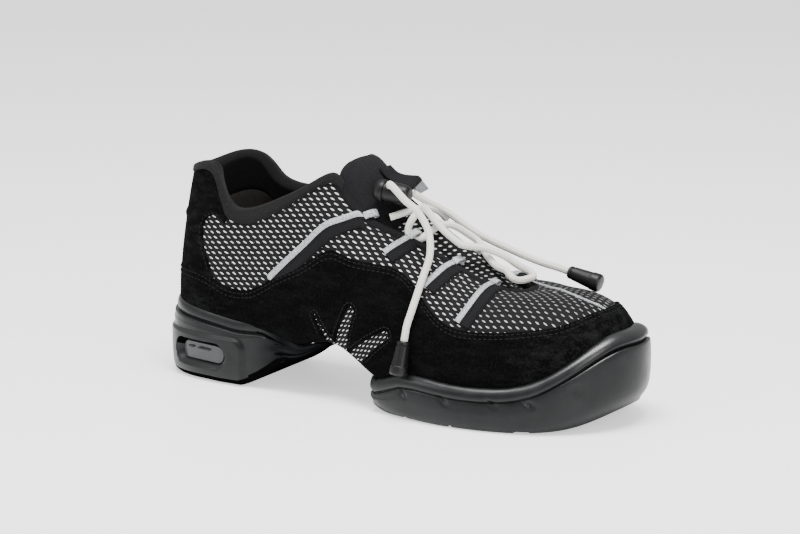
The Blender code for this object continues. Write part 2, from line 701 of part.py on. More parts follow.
def tongue_face(depth):
    """Grid of one face of the tongue, depth below its outer face: sections by columns."""
    across = np.linspace(-1, 1, TONGUE_COLUMNS)
    stops = np.array([-1, -TONGUE_EDGE_SHARE, 0, TONGUE_EDGE_SHARE, 1])
    sections = []
    for crown in CROWNS:
        u = LAST.u_of_row(crown.row)
        knots = []
        for at, v in ((u, TONGUE_EDGE_V), (u, 1.0), (-u, 1.0), (-u, TONGUE_EDGE_V)):
            inside = wall_thickness(np.array(at), np.array(v)) + TONGUE_CLEAR + depth
            knots.append(LAST.lifted(at, v, -inside))
        knots.insert(2, np.array([crown.x, 0.0, crown.z - depth]))
        knots = np.array(knots)
        slope = np.diff(knots, axis=0) / np.diff(stops)[:, None]
        lean = np.array([slope[0], slope[0], 0.5 * (slope[1] + slope[2]), slope[3], slope[3]])
        part = np.clip(np.searchsorted(stops, across, side="right") - 1, 0, 3)
        span = np.diff(stops)[part][:, None]
        t = (across - stops[part])[:, None] / span
        curve = (2 * t**3 - 3 * t**2 + 1) * knots[part] + (t**3 - 2 * t**2 + t) * span * lean[part]
        curve += (3 * t**2 - 2 * t**3) * knots[part + 1] + (t**3 - t**2) * span * lean[part + 1]
        sections.append(curve)
    for reach in TONGUE_ROOT:
        sections.append(sections[len(CROWNS) - 1] + np.array([reach, 0, 0]))
    return np.array(sections)


def build_tongue(skin):
    return solid("tongue", *grid_shell(tongue_face(TONGUE_THICK), tongue_face(0.0)), skin)


def rand_top(u):
    """v of the rand's top edge at u."""
    rows = [p.row for p in RAND_EDGE]
    heights = [p.v for p in RAND_EDGE]
    count = len(LAST.knots)
    rows = np.array(rows + [count - r for r in rows[-2:0:-1]], float)
    heights = np.array(heights + heights[-2:0:-1])[:, None]
    knots = LAST.u_of_row(rows)
    bends = spline_slopes(knots, heights, LAST.period)
    u = np.mod(np.asarray(u, float), LAST.period)
    i = np.clip(np.searchsorted(knots, u, side="right") - 1, 0, len(knots) - 1)
    j = (i + 1) % len(knots)
    h = (np.append(knots[1:], LAST.period)[i] - knots[i])[..., None]
    b = (u - knots[i])[..., None] / h
    a = 1 - b
    curve = ((a**3 - a) * bends[i] + (b**3 - b) * bends[j]) * h * h / 6
    return (a * heights[i] + b * heights[j] + curve)[..., 0]


def rand_bottom(u):
    """v of the rand's lower edge: just over the sole's bead, or over the feather line at the arch."""
    c = LAST.at(u)
    level = np.maximum(c[:, 11] + RAND_OVER_BEAD, c[:, 2] + RAND_OVER_ARCH)
    return np.array([LAST.v_of_z(k, z) for k, z in zip(u, level)])


def prong_cutter(number, prong):
    """Curved tapered bar through both sides of the rand."""
    t = np.linspace(0, 1, 7)[:, None]
    root, bend, tip = (np.array(p) for p in (prong.root, prong.bend, prong.tip))
    spine = (1 - t) ** 2 * root + 2 * t * (1 - t) * bend + t * t * tip
    run = np.gradient(spine, axis=0)
    run = run / np.linalg.norm(run, axis=1, keepdims=True)
    square = np.stack([-run[:, 1], run[:, 0]], axis=1)
    width = 0.5 * (prong.root_width * (1 - t) + prong.tip_width * t)
    point = [tip + run[-1] * width[-1]]
    outline = np.concatenate([spine + square * width, point, (spine - square * width)[::-1]])
    count = len(outline)
    points = [(x, y, z) for y in (-PRONG_REACH, PRONG_REACH) for x, z in outline]
    faces = [tuple(range(count)), tuple(range(2 * count - 1, count - 1, -1))]
    for j in range(count):
        k = (j + 1) % count
        faces.append((k, j, j + count, k + count))
    return cutter(f"prong_{number}", points, faces)


def build_rand(skin):
    """Suede band round the foot, cut by the arch prongs."""
    u = STATION_U
    low = rand_bottom(u)
    high = rand_top(u)
    inner = []
    outer = []
    last = len(RAND_ROWS) + 1
    for number, row in enumerate((0.0, *RAND_ROWS, 1.0)):
        v = np.clip(row, low + RAND_STEP * number, high - RAND_STEP * (last - number))
        inner.append(LAST.lifted(u, v, np.full(len(u), OVERLAY_LIFT)))
        outer.append(LAST.lifted(u, v, np.full(len(u), OVERLAY_LIFT + OVERLAY)))
    rand = solid("foxing", *ring_shell(np.array(inner), np.array(outer)), skin)
    for number, prong in enumerate(PRONGS):
        cut(rand, prong_cutter(number, prong))
    return rand


def build_counter(skin):
    """Suede panel round the back of the heel, between rand and cuff."""
    reach = int(round(LAST.u_of_row(COUNTER_REACH) * STATIONS / LAST.period))
    u = stations_between(-reach, reach)
    low = rand_top(u) + BAND_CLEAR
    inner = []
    outer = []
    for t in np.linspace(0, 1, COUNTER_ROWS):
        v = low + (COUNTER_TOP - low) * t
        inner.append(LAST.lifted(u, v, np.full(len(u), OVERLAY_LIFT)))
        outer.append(LAST.lifted(u, v, np.full(len(u), OVERLAY_LIFT + OVERLAY)))
    return solid("heel_counter", *grid_shell(np.array(inner), np.array(outer)), skin)


def surface_step(u, v, along, offset):
    """u and v moved by offset millimetres over the wall, square to the direction along."""
    du = (LAST.point(u + 0.3, v) - LAST.point(u - 0.3, v)) / 0.6
    dv = (LAST.point(u, v + 0.005) - LAST.point(u, v - 0.005)) / 0.01
    normal = np.cross(du, dv)
    square = np.cross(normal, along)
    square = square / np.linalg.norm(square) * offset
    share = np.linalg.lstsq(np.stack([du, dv], axis=1), square, rcond=None)[0]
    return u + share[0], v + share[1]


def build_band(name, path, side, skin):
    """Webbing band over the quarter, with the loop that stands past the throat."""
    rows = np.array([p.row for p in path])
    heights = np.array([p.v for p in path])
    t = np.linspace(0, len(path) - 1, BAND_SECTIONS)
    u = LAST.u_of_row(np.interp(t, np.arange(len(path)), rows))
    v = np.minimum(np.interp(t, np.arange(len(path)), heights), BAND_TOP)
    run = np.gradient(LAST.point(u, v), axis=0)
    inner = []
    outer = []
    edge = LAST.point(-side * u[0], 1.0)
    past = edge - LAST.point(-side * u[0], 0.97)
    past = past / np.linalg.norm(past)
    along = LAST.point(-side * u[0] + 0.5, 1.0) - LAST.point(-side * u[0] - 0.5, 1.0)
    along = along / np.linalg.norm(along) * -side
    lift = LAST.normal(-side * u[0], 1.0)
    for reach in (LOOP_REACH, 0.5 * LOOP_REACH):
        line = edge + past * reach + lift * OVERLAY_LIFT
        inner.append([line + along * LOOP_WIDTH * share for share in (-0.5, 0.0, 0.5)])
        outer.append([point + lift * OVERLAY for point in inner[-1]])
    for k in range(BAND_SECTIONS):
        at = []
        high = []
        for offset in (-BAND_BACK, 0.5 * (BAND_FRONT - BAND_BACK), BAND_FRONT):
            place = surface_step(u[k], v[k], run[k], offset)
            at.append(-side * place[0])
            high.append(np.clip(place[1], rand_top(place[0]) + BAND_CLEAR, BAND_TOP))
        inner.append(LAST.lifted(at, high, np.full(len(at), OVERLAY_LIFT)))
        outer.append(LAST.lifted(at, high, np.full(len(at), OVERLAY_LIFT + OVERLAY)))
    return solid(name, *grid_shell(np.array(inner), np.array(outer)), skin)


def smooth_route(places, spacing):
    """Points at even spacing on a smooth curve through places."""
    places = np.array(places, float)
    reach = np.concatenate([[0], np.cumsum(np.linalg.norm(np.diff(places, axis=0), axis=1) ** 0.5)])
    padded = np.concatenate([[2 * places[0] - places[1]], places, [2 * places[-1] - places[-2]]])
    knots = np.concatenate([[-reach[1]], reach, [2 * reach[-1] - reach[-2]]])
    fine = []
    for i in range(len(places) - 1):
        p = padded[i : i + 4]
        k = knots[i : i + 4]
        t = np.linspace(k[1], k[2], 24, endpoint=i == len(places) - 2)[:, None]
        a1 = (k[1] - t) / (k[1] - k[0]) * p[0] + (t - k[0]) / (k[1] - k[0]) * p[1]
        a2 = (k[2] - t) / (k[2] - k[1]) * p[1] + (t - k[1]) / (k[2] - k[1]) * p[2]
        a3 = (k[3] - t) / (k[3] - k[2]) * p[2] + (t - k[2]) / (k[3] - k[2]) * p[3]
        b1 = (k[2] - t) / (k[2] - k[0]) * a1 + (t - k[0]) / (k[2] - k[0]) * a2
        b2 = (k[3] - t) / (k[3] - k[1]) * a2 + (t - k[1]) / (k[3] - k[1]) * a3
        fine.append((k[2] - t) / (k[2] - k[1]) * b1 + (t - k[1]) / (k[2] - k[1]) * b2)
    fine = np.concatenate(fine)
    length = np.concatenate([[0], np.cumsum(np.linalg.norm(np.diff(fine, axis=0), axis=1))])
    even = np.linspace(0, length[-1], int(round(length[-1] / spacing)) + 1)
    return np.stack([np.interp(even, length, fine[:, k]) for k in range(3)], axis=1)


def tube(centres, radii, sides):
    """Points and faces of a round bar along centres, with flat ends."""
    centres = np.array(centres, float)
    run = np.gradient(centres, axis=0)
    run = run / np.linalg.norm(run, axis=1, keepdims=True)
    side = np.cross(run[0], (0.0, 0.0, 1.0))
    points = []
    turn = np.linspace(0, 2 * np.pi, sides, endpoint=False)
    for centre, along, radius in zip(centres, run, radii):
        side = side - along * np.dot(side, along)
        side = side / np.linalg.norm(side)
        rise = np.cross(side, along)
        points += [centre + radius * (np.cos(a) * side + np.sin(a) * rise) for a in turn]
    faces = [tuple(range(sides - 1, -1, -1))]
    for i in range(len(centres) - 1):
        for j in range(sides):
            k = (j + 1) % sides
            faces.append((i * sides + j, i * sides + k, (i + 1) * sides + k, (i + 1) * sides + j))
    faces.append(tuple(len(points) - sides + j for j in range(sides)))
    return np.array(points), faces


def build_lace_bar(name, places, skin):
    """Strand over the throat as a round bar."""
    route = smooth_route(places, BAR_SPACING)
    return solid(name, *tube(route, np.full(len(route), CORD_RADIUS), CORD_SIDES), skin)


def build_lace_end(name, places, barrel, skin):
    """Loose strand as a bevelled curve that runs straight into its cord end."""
    last = np.array(places[-1])
    lead = last - unit_vector(np.array(barrel) - last) * LEAD
    route = (smooth_route([*places[:-1], lead, last], END_SPACING) - np.array(ORIGIN)) * MM
    curve = bpy.data.curves.new(name, "CURVE")
    curve.dimensions = "3D"
    curve.bevel_depth = CORD_RADIUS * MM
    curve.bevel_resolution = 2
    curve.use_fill_caps = True
    spline = curve.splines.new("POLY")
    spline.points.add(len(route) - 1)
    for point, place in zip(spline.points, route):
        point.co = (*place, 1.0)
    curve.materials.append(skin)
    made = bpy.data.objects.new(name, curve)
    bpy.context.scene.collection.objects.link(made)
    return made


def unit_vector(step):
    return step / np.linalg.norm(step)


def build_turned(name, start, end, profile, skin):
    """Turned piece from start to end."""
    start = np.array(start, float)
    end = np.array(end, float)
    centres = [start + (end - start) * turn.share for turn in profile]
    return solid(name, *tube(centres, [turn.radius for turn in profile], TURNED_SIDES), skin)


def build_cord_end(name, places, barrel, skin):
    """Moulded end just past the strand's last place."""
    last = np.array(places[-1])
    start = last + unit_vector(np.array(barrel) - last) * 1.5 * GAP
    return build_turned(name, start, barrel, CORD_END, skin)


def build_pull(skin):
    """Webbing pull that stands off the tongue."""
    count = len(PULL_OUTLINE)
    points = [(x, y, z) for y in (-PULL_WIDTH / 2, PULL_WIDTH / 2) for x, z in PULL_OUTLINE]
    faces = [tuple(range(count)), tuple(range(2 * count - 1, count - 1, -1))]
    for j in range(count):
        k = (j + 1) % count
        faces.append((k, j, j + count, k + count))
    return solid("pull_loop", points, faces, skin)


def clear_scene():
    for old in list(bpy.data.objects):
        bpy.data.objects.remove(old, do_unlink=True)


def main():
    clear_scene()
    fabric = material("Mesh fabric", BLACK_FABRIC, 0.85)
    suede = material("Suede", BLACK_SUEDE, 0.95)
    webbing = material("Webbing", BLACK_WEBBING, 0.8)
    rubber = material("Moulded rubber", BLACK_RUBBER, 0.45)
    plastic = material("Moulded plastic", BLACK_PLASTIC, 0.35)
    pane = material("Smoked pane", GREY_PANE, 0.25)
    cord = material("Elastic cord", WHITE_CORD, 0.8)
    build_upper(fabric)
    add_windows(build_heel_sole(rubber), pane)
    add_flex_slots(build_forefoot_sole(rubber))
    build_insole(fabric)
    build_tongue(fabric)
    build_rand(suede)
    build_counter(suede)
    for number, path in enumerate(BANDS, 1):
        for name, side in (("lateral", -1), ("medial", 1)):
            build_band(f"band_{number}_{name}", path, side, webbing)
    build_pull(webbing)
    build_lace_bar("lace_top", LACE_TOP, cord)
    build_lace_bar("lace_cross", LACE_CROSS, cord)
    for name, places, barrel in (("near", LACE_NEAR, CORD_END_NEAR), ("far", LACE_FAR, CORD_END_FAR)):
        build_lace_end(f"lace_end_{name}", places, barrel, cord)
        build_cord_end(f"cord_end_{name}", places, barrel, plastic)
    build_turned("cord_lock", *LOCK_AXIS, LOCK, plastic)


main()
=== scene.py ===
"""Looks of a right dance shoe with a split sole: net upper, suede rand, webbing bands and a locked lace.

Tables hold millimetres in the shoe's own layout: X from the back of the heel to the toe, -Y the outer
(lateral) side, Z up from the floor. The last is the shaping form of the solid model: u runs from the back
of the heel along the lateral side to the toe tip and back along the medial side, and v runs up the wall
from the feather line (0) to the collar and throat (1). Every visible piece is read from it.
"""

import logging
import math
from collections.abc import Callable, Sequence
from dataclasses import dataclass, field
from enum import Enum
from typing import NamedTuple

import bmesh
import bpy
import numpy as np
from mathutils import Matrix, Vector


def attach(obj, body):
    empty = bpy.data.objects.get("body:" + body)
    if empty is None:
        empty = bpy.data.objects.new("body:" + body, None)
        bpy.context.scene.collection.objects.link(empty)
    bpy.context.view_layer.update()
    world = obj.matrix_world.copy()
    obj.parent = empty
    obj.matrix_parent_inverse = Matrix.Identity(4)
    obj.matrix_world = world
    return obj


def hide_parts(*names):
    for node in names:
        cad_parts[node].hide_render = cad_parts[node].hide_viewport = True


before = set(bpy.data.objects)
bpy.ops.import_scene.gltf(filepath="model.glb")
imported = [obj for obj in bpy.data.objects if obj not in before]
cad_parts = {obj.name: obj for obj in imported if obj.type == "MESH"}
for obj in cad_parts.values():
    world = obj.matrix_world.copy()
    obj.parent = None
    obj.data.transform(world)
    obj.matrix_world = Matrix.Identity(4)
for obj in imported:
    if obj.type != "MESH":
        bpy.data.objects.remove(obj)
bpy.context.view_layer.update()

LOG = logging.getLogger("dance_shoe")
Array = np.ndarray
Numbers = np.ndarray | float
Sizes = tuple[float, ...]
Table = tuple[Sizes, ...]
# Places on the upper: section number along the shoe, and v up the wall.
Route = tuple[tuple[float, float], ...]
Piece = bpy.types.Object
Material = bpy.types.Material
Socket = bpy.types.NodeSocket

MM = 0.001
ORIGIN = np.array((132.5, -1.96, 0.0))
UP = np.array((0.0, 0.0, 1.0))

# Wall of the upper, extra padding round the collar, and the gap between neighbours.
WALL = 2.4
PADDING = 4.6
PADDING_RISE = (0.62, 0.82)
GAP = 0.3
COLLAR_END = 106.0
COLLAR_FADE = 3.0
# Length of a typical section from feather line to top line.
SECTION_LENGTH = 82.0
# Points on a smooth curve between two of its places.
ROUTE_STEPS = 24


class RecordSlot(Enum):
    """Colour slots of the part's record."""

    FABRIC = "mesh_fabric"
    SUEDE = "suede"
    WEBBING = "webbing"
    RUBBER = "moulded_rubber"
    PLASTIC = "moulded_plastic"
    PANE = "smoked_pane"
    CORD = "elastic_cord"


class Section(NamedTuple):
    """One section of the last, with the edge of the sole under it and the lateral top line's extra rise."""

    x: float
    lat: float
    med: float
    z: float
    low_out: float
    low_up: float
    top_x: float
    top_lat: float
    top_med: float
    top_z: float
    top_out: float
    top_down: float
    ground: float
    bead: float
    spread: float
    rise: float = 0.0


SECTIONS = (
    Section(6.5, 0, 0, 21, 2.5, 30, 14.5, 0, 0, 105.7, 6, 30, 0, 40.5, 6.5),
    Section(10.2, 14.3, 14.3, 20.5, 2.5, 30, 16.5, 10, 10, 106.7, 6, 30, 0, 40, 6.5),
    Section(22.5, 24.3, 24.3, 20, 2.5, 28, 25, 19.5, 19.5, 110, 7, 28, 0, 38.5, 6.4),
    Section(42, 28.4, 28, 20, 3, 26, 37, 24.8, 24.5, 108, 7, 26, 0, 36.5, 6.2, 1.8),
    Section(55, 29, 28, 20, 3, 25, 43, 26.2, 25.8, 102, 6, 24, 0, 35, 6.0, -2),
    Section(68, 29.8, 27.8, 20, 3.5, 25, 50, 27.0, 26.4, 96.3, 6, 22, 6, 35.3, 5.4, -6),
    Section(82, 30.8, 27.2, 22, 4, 25, 74, 26.2, 25.2, 95.6, 8, 24, 16, 29.6, 4.0, 0.4),
    Section(97, 32, 26.5, 27, 4, 25, 94, 23.5, 22.5, 106.6, 10, 28, 21.5, 26.6, 2.8),
    Section(110, 33.5, 26.5, 30.3, 4, 25, 106, 21, 20, 111.6, 11, 30, 28, 30.5, 2.2),
    Section(123, 35, 27.5, 26, 4, 25, 114, 20, 19, 102, 13, 24, 20, 25, 2.2),
    Section(138, 38, 29.5, 18, 4, 25, 126, 18.5, 17.5, 91.5, 15, 16, 5, 17, 3.2),
    Section(157, 42, 34.5, 14, 3.5, 25, 146, 15.5, 14.5, 84, 17, 10, 0.6, 22, 4.8),
    Section(181, 44.5, 39, 12.5, 3, 26, 168, 13, 12, 74, 20, 6, 0, 22, 5.2),
    Section(206, 42.5, 40.5, 13, 3, 29, 184, 12, 11, 66.8, 22, 3, 0, 21.7, 5.2),
    Section(227, 36, 37.5, 15, 3, 33, 194, 10.5, 10, 63.3, 25, 0, 0.6, 26.3, 5.4),
    Section(244, 24.5, 31, 18.5, 3, 37, 200.5, 7.5, 7.5, 62, 28, -1, 3.5, 38, 6.0),
    Section(254, 10.5, 21, 21.5, 3.5, 40, 203.5, 4, 4, 61.6, 30, -1, 8, 46.5, 6.6),
    Section(258, -6, 6, 23, 3.5, 40, 204.5, 0, 0, 61.5, 31, -1, 10, 47.5, 7.0),
)


@dataclass(frozen=True)
class Crease:
    """Soft trough in the upper, or a ridge where the depth is below zero.

    It has the section number and v of its middle, its half length and half width in mm, the degrees
    that it rises towards the toe, and its depth in mm.
    """

    row: float
    v: float
    along: float
    across: float
    turn: float
    depth: float


# The net sags a little behind the bands, the vamp folds where the foot bends, the rand ripples over
# the ball of the foot, and the heel counter is slightly hollow under the collar.
CREASES = (
    Crease(6.4, 0.74, 20, 9, 10, 1.1), Crease(4.6, 0.66, 12, 8, -20, 0.7),
    Crease(2.2, 0.64, 11, 13, 0, 0.7), Crease(10.0, 0.80, 9, 6, 60, 0.6),
    Crease(11.5, 0.80, 9, 4, 65, 0.6), Crease(12.8, 0.84, 10, 4, 70, 0.7),
    Crease(13.6, 0.68, 13, 4, 62, 0.8), Crease(14.3, 0.60, 12, 4, 58, 0.6),
    Crease(15.2, 0.72, 11, 5, 60, 0.5), Crease(12.5, 0.33, 10, 4.5, 30, 0.7),
    Crease(13.4, 0.30, 9, 4, 40, 0.6), Crease(14.3, 0.32, 9, 5, 35, 0.5),
    Crease(13.0, 0.38, 9, 3.5, 25, -0.5), Crease(8.6, 0.80, 8, 6, -40, 0.5),
    Crease(15.6, 0.30, 8, 4, 20, 0.4),
)


def ease(value: Numbers, start: float, end: float) -> Array:
    """Returns a smooth step from 0 at start to 1 at end."""
    t = np.clip((np.asarray(value, float) - start) / (end - start), 0, 1)
    return t * t * (3 - 2 * t)


def unit(vectors: Array) -> Array:
    """Returns the vectors at length 1."""
    return vectors / np.linalg.norm(vectors, axis=-1, keepdims=True)


class ClosedSpline:
    """Cubic spline through rows of numbers round a closed loop."""

    def __init__(self, knots: Array, rows: Array, period: float) -> None:
        """Solves the spline's bends.

        Args:
            knots: Place of each row round the loop, from 0.
            rows: Numbers at the knots.
            period: Length of the loop.
        """
        self.knots = knots
        self.rows = rows
        self.period = period
        count = len(knots)
        step = np.diff(np.append(knots, knots[0] + period))
        rise = np.roll(rows, -1, axis=0) - rows
        matrix = np.zeros((count, count))
        right = np.zeros_like(rows)
        for i in range(count):
            before, after = step[i - 1], step[i]
            matrix[i, i - 1] += before
            matrix[i, i] += 2 * (before + after)
            matrix[i, (i + 1) % count] += after
            right[i] = 6 * (rise[i] / after - rise[i - 1] / before)
        self.bends = np.linalg.solve(matrix, right)

    def at(self, u: Numbers) -> Array:
        """Returns the spline's numbers at u.

        Args:
            u: Places round the loop.

        Returns:
            One row of numbers for each place.
        """
        u = np.mod(np.asarray(u, float), self.period)
        i = np.clip(np.searchsorted(self.knots, u, side="right") - 1, 0, len(self.knots) - 1)
        j = (i + 1) % len(self.knots)
        h = (np.append(self.knots[1:], self.period)[i] - self.knots[i])[..., None]
        b = (u - self.knots[i])[..., None] / h
        a = 1 - b
        curve = (a**3 - a) * self.bends[i] + (b**3 - b) * self.bends[j]
        return a * self.rows[i] + b * self.rows[j] + curve * h * h / 6


class Last:
    """The shoe's shaping form, with the soft creases of its upper."""

    def __init__(self, sections: Sequence[Section], creases: Sequence[Crease]) -> None:
        """Lays the sections out round the last.

        Args:
            sections: Sections from heel to toe.
            creases: Creases of the wall.
        """
        lateral = [self._row(s, -s.lat, -s.top_lat, s.top_z + s.rise) for s in sections]
        medial = [self._row(s, s.med, s.top_med, s.top_z) for s in sections]
        rows = np.array(lateral + medial[-2:0:-1], float)
        walk = np.diff(np.append(rows, rows[:1], axis=0), axis=0)
        step = 0.5 * (np.linalg.norm(walk[:, 0:3], axis=1) + np.linalg.norm(walk[:, 3:6], axis=1))
        step = 0.5 * (step + step[::-1])
        self.knots = np.concatenate([[0.0], np.cumsum(step)[:-1]])
        self.period = float(step.sum())
        self.half = float(self.knots[len(sections) - 1])
        self.spline = ClosedSpline(self.knots, rows, self.period)
        self.creases = creases

    @staticmethod
    def _row(s: Section, low_y: float, top_y: float, top_z: float) -> list[float]:
        """Returns one side of a section, with its feather point and top point, as a row of numbers."""
        return [
            s.x, low_y, s.z, s.top_x, top_y, top_z,
            s.low_out, s.low_up, s.top_out, s.top_down, s.ground, s.bead, s.spread,
        ]

    def at(self, u: Numbers) -> Array:
        """Returns feather point, top point, handles and sole edge at u."""
        return self.spline.at(u)

    def out(self, u: Numbers) -> Array:
        """Returns unit vectors in plan, away from the foot."""
        run = unit(self.at(np.asarray(u) + 0.5)[..., 0:2] - self.at(np.asarray(u) - 0.5)[..., 0:2])
        return np.stack([run[..., 1], -run[..., 0], np.zeros_like(run[..., 0])], axis=-1)

    def point(self, u: Numbers, v: Numbers) -> Array:
        """Returns points of the plain wall.

        Args:
            u: Places round the last.
            v: Places up the wall.

        Returns:
            Points in mm.
        """
        u, v = np.broadcast_arrays(np.asarray(u, float), np.asarray(v, float))
        c = self.at(u)
        out = self.out(u)
        low, top = c[..., 0:3], c[..., 3:6]
        low_handle = low + out * c[..., 6:7] + UP * c[..., 7:8]
        top_handle = top + out * c[..., 8:9] - UP * c[..., 9:10]
        v = v[..., None]
        w = 1 - v
        return w**3 * low + 3 * w * w * v * low_handle + 3 * w * v * v * top_handle + v**3 * top

    def normal(self, u: Numbers, v: Numbers) -> Array:
        """Returns unit vectors out of the wall.

        Args:
            u: Places round the last.
            v: Places up the wall.

        Returns:
            One vector for each place.
        """
        u, v = np.broadcast_arrays(np.asarray(u, float), np.asarray(v, float))
        along = self.point(u + 0.4, v) - self.point(u - 0.4, v)
        across = self.point(u, np.clip(v + 0.01, 0, 1)) - self.point(u, np.clip(v - 0.01, 0, 1))
        return unit(np.cross(along, across))

    def sag(self, u: Array, v: Array) -> Array:
        """Returns how deep the creases press the wall in.

        Args:
            u: Places round the last.
            v: Places up the wall.

        Returns:
            Depths in mm.
        """
        side = np.mod(u, self.period)
        side = np.minimum(side, self.period - side)
        total = np.zeros(np.broadcast(u, v).shape)
        for crease in self.creases:
            du = side - self.u_of_row(crease.row)
            dv = (v - crease.v) * SECTION_LENGTH
            turn = math.radians(crease.turn)
            p = (du * math.cos(turn) + dv * math.sin(turn)) / crease.along
            q = (dv * math.cos(turn) - du * math.sin(turn)) / crease.across
            total = total + crease.depth * np.exp(-p * p - q * q)
        return total

    def skin(self, u: Numbers, v: Numbers, lift: Numbers = 0.0) -> Array:
        """Returns points of the creased wall, moved out of it by lift."""
        u, v, lift = np.broadcast_arrays(*(np.asarray(k, float) for k in (u, v, lift)))
        return self.point(u, v) + self.normal(u, v) * (lift - self.sag(u, v))[..., None]

    def u_of_row(self, row: Numbers) -> Array:
        """Returns u at a section number."""
        return np.interp(row, np.arange(len(self.knots) + 1), np.append(self.knots, self.period))

    def u_of_x(self, x: Numbers) -> Array:
        """Returns the lateral u at which the feather line is x from the heel."""
        u = np.linspace(0, self.half, 400)
        return np.interp(x, self.at(u)[:, 0], u)

    def v_of_z(self, u: float, z: Numbers) -> Array:
        """Returns v on the section at u where the wall is z high."""
        v = np.linspace(0, 1, 120)
        return np.interp(z, np.maximum.accumulate(self.point(u, v)[:, 2]), v)

    def underside(self, x: Numbers) -> Array:
        """Returns the height of the upper's underside at x."""
        low = self.at(np.linspace(0, self.half, 200))
        return np.interp(x, low[:, 0], low[:, 2])


LAST = Last(SECTIONS, CREASES)


def collar_share(u: Numbers) -> Array:
    """Returns 1 round the collar and 0 along the throat."""
    return 1 / (1 + np.exp((LAST.at(u)[..., 3] - COLLAR_END) / COLLAR_FADE))


def wall_thickness(u: Numbers, v: Numbers) -> Array:
    """Returns the wall of the upper: padded round the collar, thin along the throat."""
    return WALL + PADDING * collar_share(u) * ease(v, *PADDING_RISE)


def walked(points: Array) -> Array:
    """Returns the length walked up to each of a run of points."""
    return np.concatenate([[0], np.cumsum(np.linalg.norm(np.diff(points, axis=0), axis=1))])


def spots_at(points: Array, length: Array, at: Array) -> Array:
    """Returns the points at places along their run, whose lengths are given."""
    return np.stack([np.interp(at, length, points[:, k]) for k in range(points.shape[1])], axis=1)


def smooth_route(places: Sequence, spacing: float) -> Array:
    """Returns points at even spacing on a smooth curve through places.

    Args:
        places: Points that it goes through.
        spacing: Distance from point to point.

    Returns:
        The points.
    """
    places = np.array(places, float)
    reach = np.concatenate([[0], np.cumsum(np.linalg.norm(np.diff(places, axis=0), axis=1) ** 0.5)])
    padded = np.concatenate([[2 * places[0] - places[1]], places, [2 * places[-1] - places[-2]]])
    knots = np.concatenate([[-reach[1]], reach, [2 * reach[-1] - reach[-2]]])
    fine = []
    for i in range(len(places) - 1):
        k = knots[i : i + 4]
        t = np.linspace(k[1], k[2], ROUTE_STEPS, endpoint=i == len(places) - 2)[:, None]
        level = list(padded[i : i + 4])
        # Neighbours are blended three times: over one span of knots, over two, and over the middle one.
        for low, high in (((0, 1, 2), (1, 2, 3)), ((0, 1), (2, 3)), ((1,), (2,))):
            level = [(k[q] - t) / (k[q] - k[p]) * level[n] + (t - k[p]) / (k[q] - k[p]) * level[n + 1]
                     for n, (p, q) in enumerate(zip(low, high))]
        fine.append(level[0])
    fine = np.concatenate(fine)
    length = walked(fine)
    return spots_at(fine, length, np.linspace(0, length[-1], max(2, int(round(length[-1] / spacing)) + 1)))


def wall_route(places: Route, spacing: float) -> tuple[Array, Array]:
    """Returns u and v of a smooth curve over the wall, at even spacing in mm."""
    route = smooth_route([(LAST.u_of_row(row), v * SECTION_LENGTH, 0.0) for row, v in places], spacing)
    return route[:, 0], route[:, 1] / SECTION_LENGTH


def linear(code: str) -> Sizes:
    """Turns an sRGB hex code to linear colour numbers.

    Args:
        code: Colour such as "#0b0b0c".

    Returns:
        Red, green, blue and an alpha of 1.
    """
    values = [int(code[k : k + 2], 16) / 255 for k in (1, 3, 5)]
    return (*(c / 12.92 if c <= 0.04045 else ((c + 0.055) / 1.055) ** 2.4 for c in values), 1.0)


@dataclass(frozen=True)
class Finish:
    """Plain numbers of one surface: colour as sRGB hex, then the shader's constants."""

    colour: str
    roughness: float
    specular: float = 0.5
    metallic: float = 0.0
    sheen: float = 0.0


